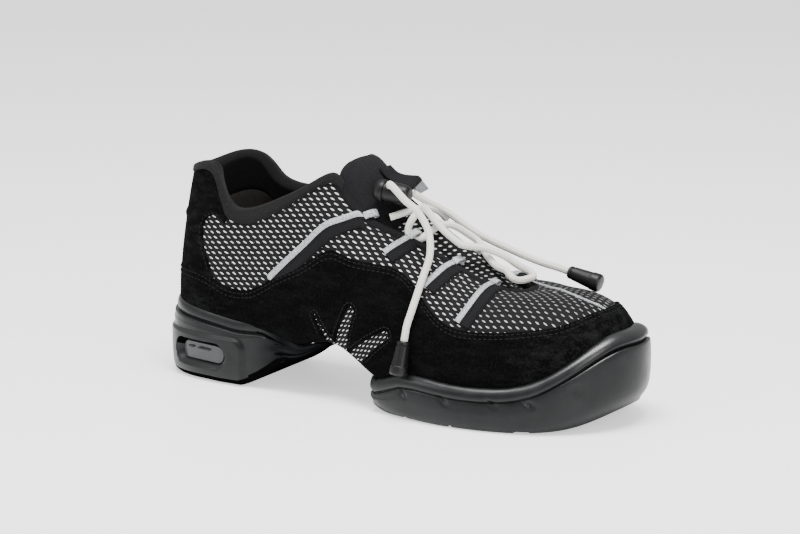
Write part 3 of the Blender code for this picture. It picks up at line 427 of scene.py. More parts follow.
class Graph:
    """Shader nodes of one material."""

    def __init__(self, name: str, finish: Finish) -> None:
        """Starts a material.

        Args:
            name: Name of the real material.
            finish: Its plain numbers.
        """
        self.material = bpy.data.materials.new(name)
        self.material.use_nodes = True
        self.tree = self.material.node_tree
        self.shader = self.tree.nodes["Principled BSDF"]
        constants = {
            "Base Color": linear(finish.colour),
            "Roughness": finish.roughness,
            "Specular IOR Level": finish.specular,
            "Metallic": finish.metallic,
            "Sheen Weight": finish.sheen,
            "Sheen Roughness": 0.5,
        }
        for socket, value in constants.items():
            self.shader.inputs[socket].default_value = value
        self._place: Socket | None = None

    def add(self, kind: str, inputs: Sequence | dict = (), out: int | str = 0,
            **settings: str) -> Socket:
        """Adds a node with its settings and links.

        Args:
            kind: Blender's node type without its prefix, and after a dot its operation, if it has one.
            inputs: Constants or sockets, in the order of the inputs or by their names or numbers.
            out: Name or number of the output.
            settings: Properties of the node.

        Returns:
            The output's socket.
        """
        kind, _, operation = kind.partition(".")
        node = self.tree.nodes.new("ShaderNode" + kind)
        if operation:
            node.operation = operation
        for key, value in settings.items():
            setattr(node, key, value)
        for key, value in (inputs if isinstance(inputs, dict) else dict(enumerate(inputs))).items():
            if isinstance(value, Socket):
                self.tree.links.new(value, node.inputs[key])
            else:
                node.inputs[key].default_value = value
        return node.outputs[out]

    def feed(self, name: str, socket: Socket) -> None:
        """Links a socket to one of the shader's inputs."""
        self.tree.links.new(socket, self.shader.inputs[name])

    def place(self) -> Socket:
        """Returns the place on the shoe, in millimetres.

        Returns:
            The socket, which is made once.
        """
        if self._place is None:
            source = self.add("TexCoord", out="Object")
            self._place = self.add("VectorMath.SCALE", {0: source, "Scale": 1 / MM})
        return self._place

    def axes(self) -> tuple[Socket, ...]:
        """Returns x, y and z of the place, in millimetres."""
        return tuple(self.add("SeparateXYZ", (self.place(),)).node.outputs)

    def relief(self, height: Socket, depth: float, dark: str, light: str,
               share: Socket | None = None) -> Material:
        """Finishes a material with two tones and a raised pattern.

        Args:
            height: Pattern from 0 to 1.
            depth: What its height stands for in mm.
            dark: Hex code where the share is 0.
            light: Hex code where the share is 1.
            share: Pattern of the tones, if it isn't the raised one.

        Returns:
            The material.
        """
        tones = {0: height if share is None else share, 6: linear(dark), 7: linear(light)}
        self.feed("Base Color", self.add("Mix", tones, 2, data_type="RGBA"))
        bump = {"Height": height, "Distance": depth * MM, "Strength": 1.0}
        self.feed("Normal", self.add("Bump", bump))
        return self.material


SMOOTH = {"interpolation_type": "SMOOTHSTEP"}
TURN = 2 * math.pi
# Net: pitch of the openings along a row and between rows, and their half sizes and slant.
NET_PITCH = (3.95, 2.65)
NET_OPENING = (1.27, 0.38)
NET_SLANT = math.radians(27.0)
NET_ROUND = 1.7
NET_MAP = "Net"
CORD_MAP = "Cord"


def ribs(graph: Graph, across: Socket, pitch: float) -> Socket:
    """Returns waves from -1 to 1 that follow each other by a pitch."""
    phase = graph.add("Math.MULTIPLY", (across, TURN / pitch))
    return graph.add("Math.SINE", (phase,))


def mottle(graph: Graph, size: float, detail: float = 3.0) -> Socket:
    """Returns cloudy spots of a size in mm, from 0 to 1, with finer layers over them."""
    cloud = {"Vector": graph.place(), "Scale": 1 / size, "Detail": detail, "Roughness": 0.6}
    return graph.add("TexNoise", cloud)


def net_lattice(graph: Graph) -> Socket:
    """Returns 1 in the slanted openings of the net and 0 on its threads.

    Args:
        graph: Nodes that take it.

    Returns:
        The pattern.
    """
    flat = graph.add("SeparateXYZ", (graph.add("UVMap", uv_map=NET_MAP),)).node
    up = graph.add("Math.DIVIDE", (flat.outputs[1], NET_PITCH[1]))
    row = graph.add("Math.FLOOR", (up,))
    row = graph.add("Math.FLOORED_MODULO", (row, 2.0))
    along = graph.add("Math.DIVIDE", (flat.outputs[0], NET_PITCH[0]))
    along = graph.add("Math.MULTIPLY_ADD", (row, 0.5, along))
    inside = []
    for place, pitch in zip((along, up), NET_PITCH):
        share = graph.add("Math.FRACT", (place,))
        share = graph.add("Math.SUBTRACT", (share, 0.5))
        inside.append(graph.add("Math.MULTIPLY", (share, pitch)))
    p, q = inside
    cos, sin = math.cos(NET_SLANT), math.sin(NET_SLANT)
    total = 0.0
    for first, second, lean, half in ((p, q, -sin, NET_OPENING[0]), (q, p, sin, NET_OPENING[1])):
        reach = graph.add("Math.MULTIPLY", (second, lean))
        reach = graph.add("Math.MULTIPLY_ADD", (first, cos, reach))
        reach = graph.add("Math.DIVIDE", (reach, half))
        reach = graph.add("Math.ABSOLUTE", (reach,))
        reach = graph.add("Math.POWER", (reach, NET_ROUND))
        total = graph.add("Math.ADD", (reach, total))
    # The openings close a little over the vamp.
    tight = graph.add("MapRange", (graph.axes()[0], 20.0, 75.0, 1.0, 1.2), **SMOOTH)
    total = graph.add("Math.MULTIPLY", (total, tight))
    return graph.add("MapRange", (total, 1.25, 0.75), **SMOOTH)


def make_net() -> Material:
    """Black sandwich net: matt knit threads round slanted openings that show the pale layer behind.

    Returns:
        The material.
    """
    graph = Graph("Black sandwich net", Finish("#0b0b0c", 0.85, 0.15))
    holes = net_lattice(graph)
    x, _, z = graph.axes()
    # The pale layer is duller over the vamp, and lies deepest on top of it.
    ahead = graph.add("MapRange", (x, 40.0, 70.0), **SMOOTH)
    crown = graph.add("MapRange", (z, 46.0, 62.0, 0.0, 0.36), **SMOOTH)
    crown = graph.add("Math.MULTIPLY", (ahead, crown))
    dull = graph.add("MapRange", (x, 20.0, 75.0, 1.0, 0.7), **SMOOTH)
    dull = graph.add("Math.SUBTRACT", (dull, crown))
    pale = graph.add("MapRange", (mottle(graph, 3.0), 0.3, 0.7, 0.6, 1.0), **SMOOTH)
    for part in (dull, holes):
        pale = graph.add("Math.MULTIPLY", (pale, part))
    height = graph.add("Math.MULTIPLY", (mottle(graph, 0.35, 2.0), 0.35))
    height = graph.add("Math.SUBTRACT", (height, holes))
    return graph.relief(height, 0.4, "#111112", "#e8e9e8", pale)


def make_suede() -> Material:
    """Black suede: short nap, brushed a little lighter over the toe and the heel, no gloss.

    Returns:
        The material.
    """
    graph = Graph("Black suede", Finish("#070707", 1.0, 0.02))
    x = graph.axes()[0]
    slant = {"Scale": (0.5, 1.0, 1.6), "Rotation": (0.0, math.radians(30.0), 0.0), "Vector": graph.place()}
    cloud = {"Vector": graph.add("Mapping", slant), "Scale": 1 / 6.0, "Detail": 6.0, "Roughness": 0.6}
    streak = graph.add("MapRange", (graph.add("TexNoise", cloud), 0.4, 0.75), **SMOOTH)
    nap = graph.add("MapRange", (mottle(graph, 0.9, 5.0), 0.45, 0.8), **SMOOTH)
    reach = ((70.0, 118.0), (-70.0, -118.0))
    ends = [graph.add("MapRange", (x, near, far), **SMOOTH) for near, far in reach]
    worn = graph.add("Math.MAXIMUM", ends)
    worn = graph.add("Math.MULTIPLY_ADD", (worn, 0.1, 0.05))
    share = graph.add("Math.MULTIPLY", (streak, worn))
    brushed = graph.add("Math.ADD", (worn, 0.05))
    share = graph.add("Math.MULTIPLY_ADD", (nap, brushed, share))
    return graph.relief(mottle(graph, 0.4), 0.12, "#050505", "#3a3b3c", share)


def make_knit(name: str, dark: str, light: str, pitch: float) -> Material:
    """Smooth knit fabric: fine ribs, soft sheen at grazing angles.

    Args:
        name: Name of the fabric.
        dark: Hex code between the ribs.
        light: Hex code on them.
        pitch: Distance from rib to rib in mm.

    Returns:
        The material.
    """
    graph = Graph(name, Finish(dark, 0.95, 0.08, sheen=0.03))
    x, _, z = graph.axes()
    rib = ribs(graph, graph.add("Math.ADD", (x, z)), pitch)
    weave = graph.add("Math.MULTIPLY_ADD", (rib, 0.08, mottle(graph, 0.6)))
    return graph.relief(weave, 0.14, dark, light, graph.add("MapRange", (weave, 0.25, 0.8), **SMOOTH))


def make_webbing() -> Material:
    """Black webbing: dull woven tape with close slanting ribs, 1.1 mm apart.

    Returns:
        The material.
    """
    graph = Graph("Black webbing", Finish("#0d0d0e", 0.85, 0.12))
    x, y, z = graph.axes()
    slope = graph.add("Math.SUBTRACT", (x, z))
    slope = graph.add("Math.MULTIPLY_ADD", (y, 0.5, slope))
    rib = ribs(graph, slope, 1.1)
    return graph.relief(rib, 0.1, "#0a0a0b", "#1b1b1d", graph.add("MapRange", (rib, -1.0, 1.0), **SMOOTH))


def make_silver() -> Material:
    """Silver tape: pale grey with a satin glint and a faint weave of 0.9 mm.

    Returns:
        The material.
    """
    graph = Graph("Silver tape", Finish("#8f9193", 0.5, 0.5, metallic=0.2))
    x, _, z = graph.axes()
    rib = ribs(graph, graph.add("Math.ADD", (x, z)), 0.9)
    glint = graph.add("MapRange", (mottle(graph, 0.7, 4.0), 0.35, 0.65), **SMOOTH)
    return graph.relief(rib, 0.06, "#797b7e", "#b2b4b6", glint)


def make_rubber() -> Material:
    """Moulded rubber: charcoal, satin, finely grained, with painted highlight on top of the bead and
    painted shade under the arch.

    Returns:
        The material.
    """
    graph = Graph("Charcoal moulded rubber", Finish("#0c0d0e", 0.34, 0.2))
    x = graph.axes()[0]
    # Painted shade: the rubber reflects hardly anything under the arch, where the shoe shades the floor.
    reach = ((-72.0, -50.0), (-8.0, -20.0))
    ends = [graph.add("MapRange", (x, near, far), **SMOOTH) for near, far in reach]
    arch = graph.add("Math.MULTIPLY", ends)
    # Painted highlight: faces that look up reflect more, which brightens the top of the bead.
    upward = graph.add("SeparateXYZ", (graph.add("NewGeometry", out="Normal"),), 2)
    upward_highlight = graph.add("MapRange", (upward, 0.1, 0.7, 0.2, 0.62), **SMOOTH)
    clear = graph.add("Math.MULTIPLY_ADD", (arch, -0.9, 1.0))
    graph.feed("Specular IOR Level", graph.add("Math.MULTIPLY", (upward_highlight, clear)))
    satin = graph.add("MapRange", (mottle(graph, 9.0, 4.0), 0.3, 0.7, 0.28, 0.38), **SMOOTH)
    graph.feed("Roughness", satin)
    dust = graph.add("MapRange", (mottle(graph, 14.0, 4.0), 0.35, 0.75), **SMOOTH)
    return graph.relief(mottle(graph, 0.6, 2.0), 0.03, "#0a0b0c", "#121415", dust)


def make_cord() -> Material:
    """Elastic cord: off-white braid of crossing yarns.

    Returns:
        The material.
    """
    graph = Graph("Off-white braided cord", Finish("#dcdad2", 0.75, 0.3))
    flat = graph.add("SeparateXYZ", (graph.add("UVMap", uv_map=CORD_MAP),)).node
    yarns = []
    for way in ("ADD", "SUBTRACT"):
        phase = graph.add("Math." + way, (flat.outputs[0], flat.outputs[1]))
        yarns.append(ribs(graph, phase, 1.0))
    braid = graph.add("Math.MULTIPLY", yarns)
    braid = graph.add("Math.MULTIPLY_ADD", (braid, 0.5, 0.5))
    return graph.relief(braid, 0.16, "#b4b2aa", "#e6e4dd")


def make_plain(name: str, finish: Finish, grain: float = 0.0) -> Material:
    """Material of one colour.

    Args:
        name: Name of the material.
        finish: Its plain numbers.
        grain: Size of a fine grain in mm, if it has one.

    Returns:
        The material.
    """
    graph = Graph(name, finish)
    if grain:
        bump = {"Height": mottle(graph, grain, 2.0), "Distance": 0.1 * grain * MM, "Strength": 1.0}
        graph.feed("Normal", graph.add("Bump", bump))
    return graph.material


class Skins:
    """Materials of the shoe."""

    def __init__(self) -> None:
        """Makes each material once."""
        self.net = make_net()
        self.suede = make_suede()
        self.cuff = make_knit("Charcoal knit cuff", "#101010", "#1f1f1f", 0.9)
        # Inner cuff: the cuff knit made darker, painted shade inside the collar.
        self.inner = make_knit("Cuff knit in painted shade", "#090909", "#121212", 0.9)
        self.lining = make_knit("Dark lining", "#3a3835", "#55524e", 1.3)
        self.tongue = make_knit("Charcoal tongue fabric", "#131314", "#202022", 0.8)
        self.footbed = make_knit("Grey footbed fabric", "#141414", "#242323", 1.6)
        self.webbing = make_webbing()
        self.silver = make_silver()
        self.rubber = make_rubber()
        # Tread: matt black rubber, dull from the floor; on the heel's downward flanks under the arch it is
        # painted shade.
        self.tread = make_plain("Matt tread rubber with painted shade", Finish("#060606", 1.0, 0.0), 0.9)
        self.cord = make_cord()
        # Thread: dull grey, paler than the suede so that stitches read as dots.
        self.thread = make_plain("Grey thread", Finish("#1c1c1d", 0.9, 0.06))
        # Plastic: black, satin, smooth from the mould.
        self.plastic = make_plain("Black moulded plastic", Finish("#080808", 0.42, 0.25), 0.8)
        # Pane: smoky grey, glossy, with dark slits; each slit is a dark plate, painted shade of the
        # opening.
        self.pane = make_plain("Smoky grey pane", Finish("#393b3d", 0.25, 0.3))
        self.slit = make_plain("Dark slit", Finish("#0c0c0d", 0.6, 0.3))
        # Tag: woven, mid grey.
        self.tag = make_knit("Grey woven tag", "#4a4b4d", "#77797b", 0.7)


class Draft:
    """Points and faces of one piece, gathered grid by grid."""

    def __init__(self) -> None:
        """Starts an empty piece."""
        self.points: list[Array] = []
        self.faces: list[list[int]] = []
        self.slots: list[int] = []
        self.count = 0

    def add_points(self, points: Array) -> Array:
        """Returns the numbers of new points.

        Args:
            points: Points in mm.

        Returns:
            Their numbers in the piece.
        """
        flat = np.asarray(points, float).reshape(-1, 3)
        numbers = np.arange(self.count, self.count + len(flat))
        self.points.append(flat)
        self.count += len(flat)
        return numbers

    def add_faces(self, faces: Sequence[Sequence[int]], slot: int = 0) -> None:
        """Adds faces by point number."""
        self.faces.extend([int(k) for k in face] for face in faces)
        self.slots.extend([slot] * len(faces))

    def grid(self, points: Array, slots: int | Sequence[int] = 0, wrap_rows: bool = False,
             wrap: bool = False, facing: Array | None = None) -> Array:
        """Adds a grid of points with quads between them.

        Args:
            points: Rows by columns of points.
            slots: Material number, or one for each column of quads.
            wrap_rows: Joins the last row to the first.
            wrap: Joins the last column to the first.
            facing: Direction that the quad in the middle should face.

        Returns:
            The points' numbers, rows by columns.
        """
        rows, columns = points.shape[0:2]
        index = self.add_points(points).reshape(rows, columns)
        high = np.concatenate([index, index[:1]]) if wrap_rows else index
        wide = np.concatenate([high, high[:, :1]], axis=1) if wrap else high
        quads = np.stack([wide[:-1, :-1], wide[:-1, 1:], wide[1:, 1:], wide[1:, :-1]], axis=-1)
        if facing is not None:
            middle = quads[rows // 2 - 1, columns // 2 - 1] - index[0, 0]
            a, b, c, d = points.reshape(-1, 3)[middle]
            if np.dot(np.cross(c - a, d - b), facing) < 0:
                quads = quads[..., ::-1]
        across = quads.shape[1]
        chosen = [slots] * across if isinstance(slots, int) else list(slots)
        self.faces.extend(quads.reshape(-1, 4).tolist())
        self.slots.extend(chosen * quads.shape[0])
        return index

    def build(self, name: str, skins: Sequence[Material], sharp: float = 42.0) -> Piece:
        """Returns the piece as an object in the scene.

        Args:
            name: Name of the piece.
            skins: Its materials, in the order of the slots.
            sharp: Degrees between faces from which an edge stays sharp.

        Returns:
            The object, without a place in the solid model yet.
        """
        mesh = bpy.data.meshes.new(name)
        points = (np.concatenate(self.points) - ORIGIN) * MM
        mesh.from_pydata(points.tolist(), [], self.faces)
        for skin in skins:
            mesh.materials.append(skin)
        mesh.polygons.foreach_set("material_index", np.array(self.slots, np.int32))
        mesh.polygons.foreach_set("use_smooth", np.ones(len(self.faces), bool))
        mesh.update()
        mesh.set_sharp_from_angle(angle=math.radians(sharp))
        made = bpy.data.objects.new(name, mesh)
        bpy.context.scene.collection.objects.link(made)
        return made


def fix_outward(piece: Piece) -> None:
    """Turns the faces of a closed piece outward, and leaves an open sheet as it is.

    Args:
        piece: The piece.
    """
    work = bmesh.new()
    work.from_mesh(piece.data)
    if all(edge.is_manifold for edge in work.edges):
        bmesh.ops.recalc_face_normals(work, faces=work.faces)
        work.to_mesh(piece.data)
    work.free()


def settle(piece: Piece, slot: RecordSlot, *nodes: str) -> Piece:
    """Ties a piece to the solid model.

    Args:
        piece: The visible piece.
        slot: Its colour slot in the record; not used.
        nodes: Solids that it stands for.

    Returns:
        The piece.
    """
    fix_outward(piece)
    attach(piece, "root")
    if nodes:
        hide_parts(*nodes)
    LOG.info("%s: %d faces, for %s", piece.name, len(piece.data.polygons), ", ".join(nodes) or "no solid")
    return piece


def map_piece(piece: Piece, name: str, places: Array) -> None:
    """Gives a piece a map: two numbers for each of its points.

    Args:
        piece: The piece.
        name: Name of the map.
        places: Points by two numbers.
    """
    corners = np.empty(len(piece.data.loops), np.int32)
    piece.data.loops.foreach_get("vertex_index", corners)
    layer = piece.data.uv_layers.new(name=name)
    layer.data.foreach_set("uv", places[corners].astype(np.float32).ravel())


def cut(target: Piece, tools: Sequence[Piece]) -> None:
    """Takes the tools' volumes out of the target for good.

    Args:
        target: Piece that is cut.
        tools: Closed pieces, which are used up.
    """
    for tool in tools:
        step = target.modifiers.new(tool.name, "BOOLEAN")
        step.operation = "DIFFERENCE"
        step.solver = "EXACT"
        step.object = tool
    graph = bpy.context.evaluated_depsgraph_get()
    mesh = bpy.data.meshes.new_from_object(target.evaluated_get(graph))
    target.modifiers.clear()
    target.data = mesh
    for tool in tools:
        bpy.data.objects.remove(tool, do_unlink=True)


def tube(centres: Array, radii: Array, sides: int) -> Array:
    """Returns rings of points round a run of centres: rings by sides.

    Args:
        centres: Points along the middle.
        radii: Radius at each, or one for each side.
        sides: Points in a ring.

    Returns:
        The points.
    """
    run = unit(np.gradient(centres, axis=0))
    side = np.cross(run[0], UP)
    if np.linalg.norm(side) < 0.1:
        side = np.cross(run[0], (1.0, 0.0, 0.0))
    turn = np.linspace(0, 2 * np.pi, sides, endpoint=False)
    rings = []
    for centre, along, radius in zip(centres, run, radii):
        side = unit(side - along * np.dot(side, along))
        rise = np.cross(side, along)
        ring = np.cos(turn)[:, None] * side + np.sin(turn)[:, None] * rise
        rings.append(centre + np.reshape(radius, (-1, 1)) * ring)
    return np.array(rings)


def add_tube(draft: Draft, rings: Array, slot: int = 0) -> None:
    """Adds a closed tube from its rings.

    Args:
        draft: Piece that takes the tube.
        rings: Rings by sides of points.
        slot: Material number.
    """
    index = draft.grid(rings, slot, wrap=True)
    sides = rings.shape[1]
    draft.add_faces([index[0][::-1], index[-1]], slot)
    middle = rings[len(rings) // 2]
    centre = middle.mean(axis=0)
    face = np.cross(middle[1] - middle[0], rings[len(rings) // 2 - 1][0] - middle[0])
    if np.dot(face, middle[0] - centre) < 0:
        return
    first = len(draft.faces) - (len(rings) - 1) * sides - 2
    draft.faces[first:] = [face[::-1] for face in draft.faces[first:]]


def ribbon(draft: Draft, path: Array, across: Array, width: float, thick: float, slot: int = 0) -> None:
    """Adds a flat strip with softly rounded edges along a path.

    Args:
        draft: Piece that takes the strip.
        path: Points along its middle line.
        across: Direction over its width.
        width: Width in mm.
        thick: Thickness in mm.
        slot: Material number.
    """
    run = unit(np.gradient(path, axis=0))
    across = unit(across - run * np.sum(run * across, axis=1, keepdims=True))
    normal = np.cross(run, across)
    turn = np.linspace(0, 2 * np.pi, 28, endpoint=False)
    wide = np.sign(np.cos(turn)) * np.abs(np.cos(turn)) ** 0.22 * width / 2
    high = np.sign(np.sin(turn)) * np.abs(np.sin(turn)) ** 0.7 * thick / 2
    rings = path[:, None, :] + across[:, None, :] * wide[:, None] + normal[:, None, :] * high[:, None]
    add_tube(draft, rings, slot)


@dataclass
class StitchBook:
    """All the stitches of the shoe, as short raised bars of thread."""

    draft: Draft = field(default_factory=Draft)
    length: float = 1.7
    radius: float = 0.27
    sides: int = 6
    # How far to either side a stitch looks for its direction.
    look: float = 0.4
    # Place along the stitch, and share of its radius.
    rings: Table = ((-0.5, 0.25), (-0.38, 0.85), (0.0, 1.0), (0.38, 0.85), (0.5, 0.25))

    def run(self, points: Array, normals: Array, pitch: float = 2.7) -> None:
        """Adds a row of stitches.

        Args:
            points: Points along the row, on the face that it holds.
            normals: Directions out of that face.
            pitch: Distance from stitch to stitch in mm.
        """
        length = walked(points)
        middles = np.arange(0.5 * pitch, length[-1], pitch)
        if not len(middles):
            return
        at, ahead, behind = (spots_at(points, length, middles + k * self.look) for k in (0, 1, -1))
        out = unit(spots_at(normals, length, middles))
        along = unit(ahead - behind)
        side = unit(np.cross(out, along))
        turn = np.linspace(0, 2 * np.pi, self.sides, endpoint=False)
        for place, forward, right, rise in zip(at, along, side, out):
            ring = np.cos(turn)[:, None] * right + np.sin(turn)[:, None] * rise
            rings = [place + forward * share * self.length + ring * size * self.radius
                     for share, size in self.rings]
            add_tube(self.draft, np.array(rings))

    def on_wall(self, u: Array, v: Array, lift: float, pitch: float = 2.7) -> None:
        """Adds a row of stitches along u and v on the upper, lift above its wall."""
        self.run(LAST.skin(u, v, lift), LAST.normal(u, v), pitch)


# Suede rand: its top edge, thickness, and the line over the sole that it starts from.
RAND_EDGE = (
    (0, 0.42), (1.5, 0.42), (2.7, 0.40), (3.4, 0.375), (4.5, 0.40), (5.5, 0.465), (6.2, 0.51),
    (7.3, 0.54), (8.4, 0.61), (9.5, 0.67), (10.6, 0.715), (11.3, 0.68), (11.7, 0.57), (12.2, 0.475),
    (12.8, 0.455), (13.6, 0.45), (14.4, 0.44), (15.2, 0.43), (16.1, 0.455), (17, 0.46),
)
RAND_LIFT = 1.2
RAND_UNDER_BEAD = 4.5


def rand_spline() -> ClosedSpline:
    """Returns v of the rand's top edge round the shoe.

    Returns:
        The spline.
    """
    rows, heights = (list(column) for column in zip(*RAND_EDGE))
    rows = np.array(rows + [len(LAST.knots) - r for r in rows[-2:0:-1]], float)
    heights = np.array(heights + heights[-2:0:-1])[:, None]
    return ClosedSpline(LAST.u_of_row(rows), heights, LAST.period)


RAND_TOP = rand_spline()


def rand_top(u: Numbers) -> Array:
    """Returns v of the rand's top edge at u."""
    return RAND_TOP.at(u)[..., 0]


class Prong(NamedTuple):
    """Net prong in the rand over the arch: root, bend and tip in side view, with widths."""

    root: tuple[float, float]
    bend: tuple[float, float]
    tip: tuple[float, float]
    root_width: float
    tip_width: float

    def outline(self, grow: float = 0.0) -> Array:
        """Returns its outline in side view, grown all round.

        Args:
            grow: Distance in mm.

        Returns:
            Points of x and z.
        """
        t = np.linspace(0, 1, 30)[:, None]
        root, bend, tip = (np.array(p) for p in (self.root, self.bend, self.tip))
        spine = (1 - t) ** 2 * root + 2 * t * (1 - t) * bend + t * t * tip
        run = unit(np.gradient(spine, axis=0))
        square = np.stack([-run[:, 1], run[:, 0]], axis=1)
        width = 0.5 * (self.root_width * (1 - t) + self.tip_width * t) + grow
        arc = np.linspace(0, np.pi, 9)[1:-1]
        cap = [tip + width[-1] * (square[-1] * math.cos(a) + run[-1] * math.sin(a)) for a in arc]
        return np.concatenate([spine + square * width, cap, (spine - square * width)[::-1]])


PRONGS = (
    Prong((116.0, 27.5), (106.5, 33.5), (102.5, 43.5), 3.8, 1.8),
    Prong((117.0, 26.0), (119.5, 38.0), (124.5, 48.5), 8.5, 5.0),
    Prong((123.5, 20.5), (133.0, 31.5), (146.5, 39.5), 9.5, 4.6),
)


@dataclass
class UpperMaker:
    """Net wall, lining, collar pad, throat trim, suede rand and heel counter."""

    skins: Skins
    stitches: StitchBook
    stations: int = 420
    rows: int = 84
    cuff: Route = (
        (0, 0.965), (2.7, 0.965), (3.1, 0.96), (3.5, 0.935), (3.8, 0.905), (4.1, 0.888), (4.6, 0.895),
        (5.1, 0.915), (5.6, 0.908), (6.3, 0.935), (6.9, 0.958), (7.6, 0.962), (8.6, 0.968),
    )
    # Front edge of the heel counter: section number against v.
    counter_edge: Table = (
        (0.36, 3.0), (0.45, 2.85), (0.55, 2.6), (0.64, 2.55), (0.7, 2.75), (0.74, 3.15), (0.78, 3.8),
        (0.81, 4.3), (0.9, 4.6),
    )
    counter_seam: Sizes = (0.42, 0.79)
    counter_inset: float = 2.0
    cuff_end: float = 8.55
    cuff_seam: float = 0.012
    # Raised seam over the counter: v at the back of the heel, and its rise for each section.
    seam: Sizes = (0.66, 0.06)
    # Radius of the draped vamp against x, its centre's height, and the line where it meets the quarter.
    drape: Table = (
        (150.0, 62.0), (180.0, 52.0), (200.0, 46.0), (220.0, 41.0), (240.0, 36.0), (258.0, 32.0),
    )
    drape_centre: float = 17.0
    vamp_x: float = 165.0
    vamp_lean: float = 0.39
    vamp_z: float = 61.5
    # Degrees that the net's rows rise towards the toe.
    quarter_turn: float = 7.0
    vamp_turn: float = 20.0
    prong_turn: float = 60.0
    prong_fine: float = 1.3
    prong_middle: float = 123.0
    prong_reach: float = 34.0
    trim_start: float = 8.3
    trim_width: float = 0.046
    trim_seam: float = 0.6
    # Height of the trim over the throat's edge: at the collar's corner and along the lace.
    trim_rise: Sizes = (2.6, 0.9)
    trim_fade: Sizes = (9.0, 10.2)
    # Trim's outer face: share of its width up from its lower edge, and lift above the wall.
    trim_face: Table = ((0.0, -0.1), (0.06, 0.45), (0.2, 0.6), (0.6, 0.65), (1.0, 0.65))
    trim_outside: float = 0.65
    trim_inside: float = 0.5
    # Cuff: how far it stands out at its lower edge and at its fullest, and where that is; its roll over
    # the top, how far that reaches to either side, and how far down the inside it goes.
    puff_edge: float = 0.2
    puff: float = 1.5
    puff_share: float = 0.45
    cuff_roll: float = 2.4
    cuff_outside: float = 1.7
    cuff_inside: float = 0.4
    cuff_depth: float = 0.22
    cuff_fill: float = 0.7
    # Rand's lower and upper edges and its back: share of its height, and lift above the wall.
    rand_foot: Table = ((0.0, 0.1), (0.02, 0.8), (0.06, RAND_LIFT))
    rand_head: Table = (
        (0.95, RAND_LIFT), (0.975, 1.1), (0.99, 0.85), (1.0, 0.1), (0.66, -0.4), (0.33, -0.4),
    )
    rand_seams: Sizes = (0.022, 0.05)
    prong_seam: float = 1.7
    panel_lift: float = 0.85
    panel_edge: float = 0.035
    seam_rise: float = 0.75
    seam_wide: float = 1.5
    piping_line: Route = (
        (20.4, 0.975), (19.93, 0.956), (19.2, 0.955), (18.24, 0.919), (17.75, 0.885), (17.39, 0.819),
        (17.05, 0.76), (16.79, 0.656), (16.74, 0.56), (16.79, 0.45),
    )
    piping_radius: float = 0.65

    def build(self) -> None:
        """Builds every piece of the upper."""
        self.wall()
        self.collar()
        self.trim()
        self.rand()
        self.counter()
        self.piping()

    def wall(self) -> None:
        """Net outside, lining inside, and the board sewn in under the foot."""
        u = np.linspace(0, LAST.period, self.stations, endpoint=False)
        draft = Draft()
        v = np.linspace(0, 1, self.rows)[:, None]
        low = draft.grid(LAST.skin(u[None, :], v), 0, wrap=True)[0]
        inner = np.linspace(1, 0.05, 40)[:, None]
        rim = LAST.skin(u, np.ones(len(u)))
        rows = [rim, *LAST.skin(u[None, :], inner, -wall_thickness(u[None, :], inner))]
        draft.grid(np.array(rows), 1, wrap=True)
        half = self.stations // 2
        board = [(low[j], low[-j], low[-j - 1], low[j + 1]) for j in range(1, half - 1)]
        draft.add_faces(board, 1)
        piece = draft.build("Upper", (self.skins.net, self.skins.lining))
        flat = np.zeros((draft.count, 2))
        flat[: v.size * u.size] = self.net_places(u, v).reshape(-1, 2)
        map_piece(piece, NET_MAP, flat)
        settle(piece, RecordSlot.FABRIC, "upper")

    def net_places(self, u: Array, v: Array) -> Array:
        """Returns the net's own places on the wall: along the shoe, and up its girth.

        The quarter's net climbs from the floor's level. The vamp's net is draped over the forefoot and
        measured round it from the ridge; the two meet under the third band. The rows turn a little
        on each, and the net in the prongs over the arch stands steeper.

        Args:
            u: Stations round the last.
            v: Column of places up the wall.

        Returns:
            Two numbers in mm for each point, rows by stations.
        """
        plain = LAST.point(u[None, :], v)
        climb = np.linalg.norm(np.diff(plain[..., 1:], axis=0), axis=-1)
        girth = np.concatenate([np.zeros((1, len(u))), np.cumsum(climb, axis=0)])
        x, y, z = (plain[..., k] for k in range(3))
        radius = np.interp(x, *zip(*self.drape))
        draped = -radius * np.arctan2(np.abs(y), np.maximum(z - self.drape_centre, 1.0))
        on_vamp = x > self.vamp_x + self.vamp_lean * (z - self.vamp_z)
        up = np.where(on_vamp, draped, girth + plain[:1, :, 2])
        in_prongs = (np.abs(x - self.prong_middle) < self.prong_reach) & (v < rand_top(u)[None, :] - 0.04)
        turn = np.radians(np.where(on_vamp, self.vamp_turn, self.quarter_turn))
        turn = np.where(in_prongs, math.radians(self.prong_turn), turn)
        fine = np.where(in_prongs, self.prong_fine, 1.0)
        along = x * np.cos(turn) + up * np.sin(turn)
        return np.stack([along * fine, (up * np.cos(turn) - x * np.sin(turn)) * fine], axis=-1)

    def cuff_edge(self, u: Array) -> Array:
        """Returns v of the cuff's lower edge at u."""
        side = np.minimum(np.mod(u, LAST.period), LAST.period - np.mod(u, LAST.period))
        return np.interp(side, *wall_route(self.cuff, 0.5))

    @staticmethod
    def roll_over(u: Array, outside: float, inside: float, rise: Numbers, steps: int) -> list[Array]:
        """Returns rows of points that roll over the wall's top edge to the inside.

        Args:
            u: Places round the last.
            outside: How far the roll stands out of the wall.
            inside: How far it stands out of the lining.
            rise: Height over the edge.
            steps: Steps of the half turn, with its two ends.

        Returns:
            The rows between the ends.
        """
        top = LAST.skin(u, np.ones(len(u)))
        normal = LAST.normal(u, 1.0)
        edge = unit(LAST.point(u, 1.0) - LAST.point(u, 0.97))
        depth = wall_thickness(u, 1.0)[:, None] + inside
        middle, radius = 0.5 * (outside - depth), 0.5 * (outside + depth)
        return [top + normal * (middle + radius * math.cos(turn)) + edge * rise * math.sin(turn)
                for turn in np.linspace(0, np.pi, steps)[1:-1]]

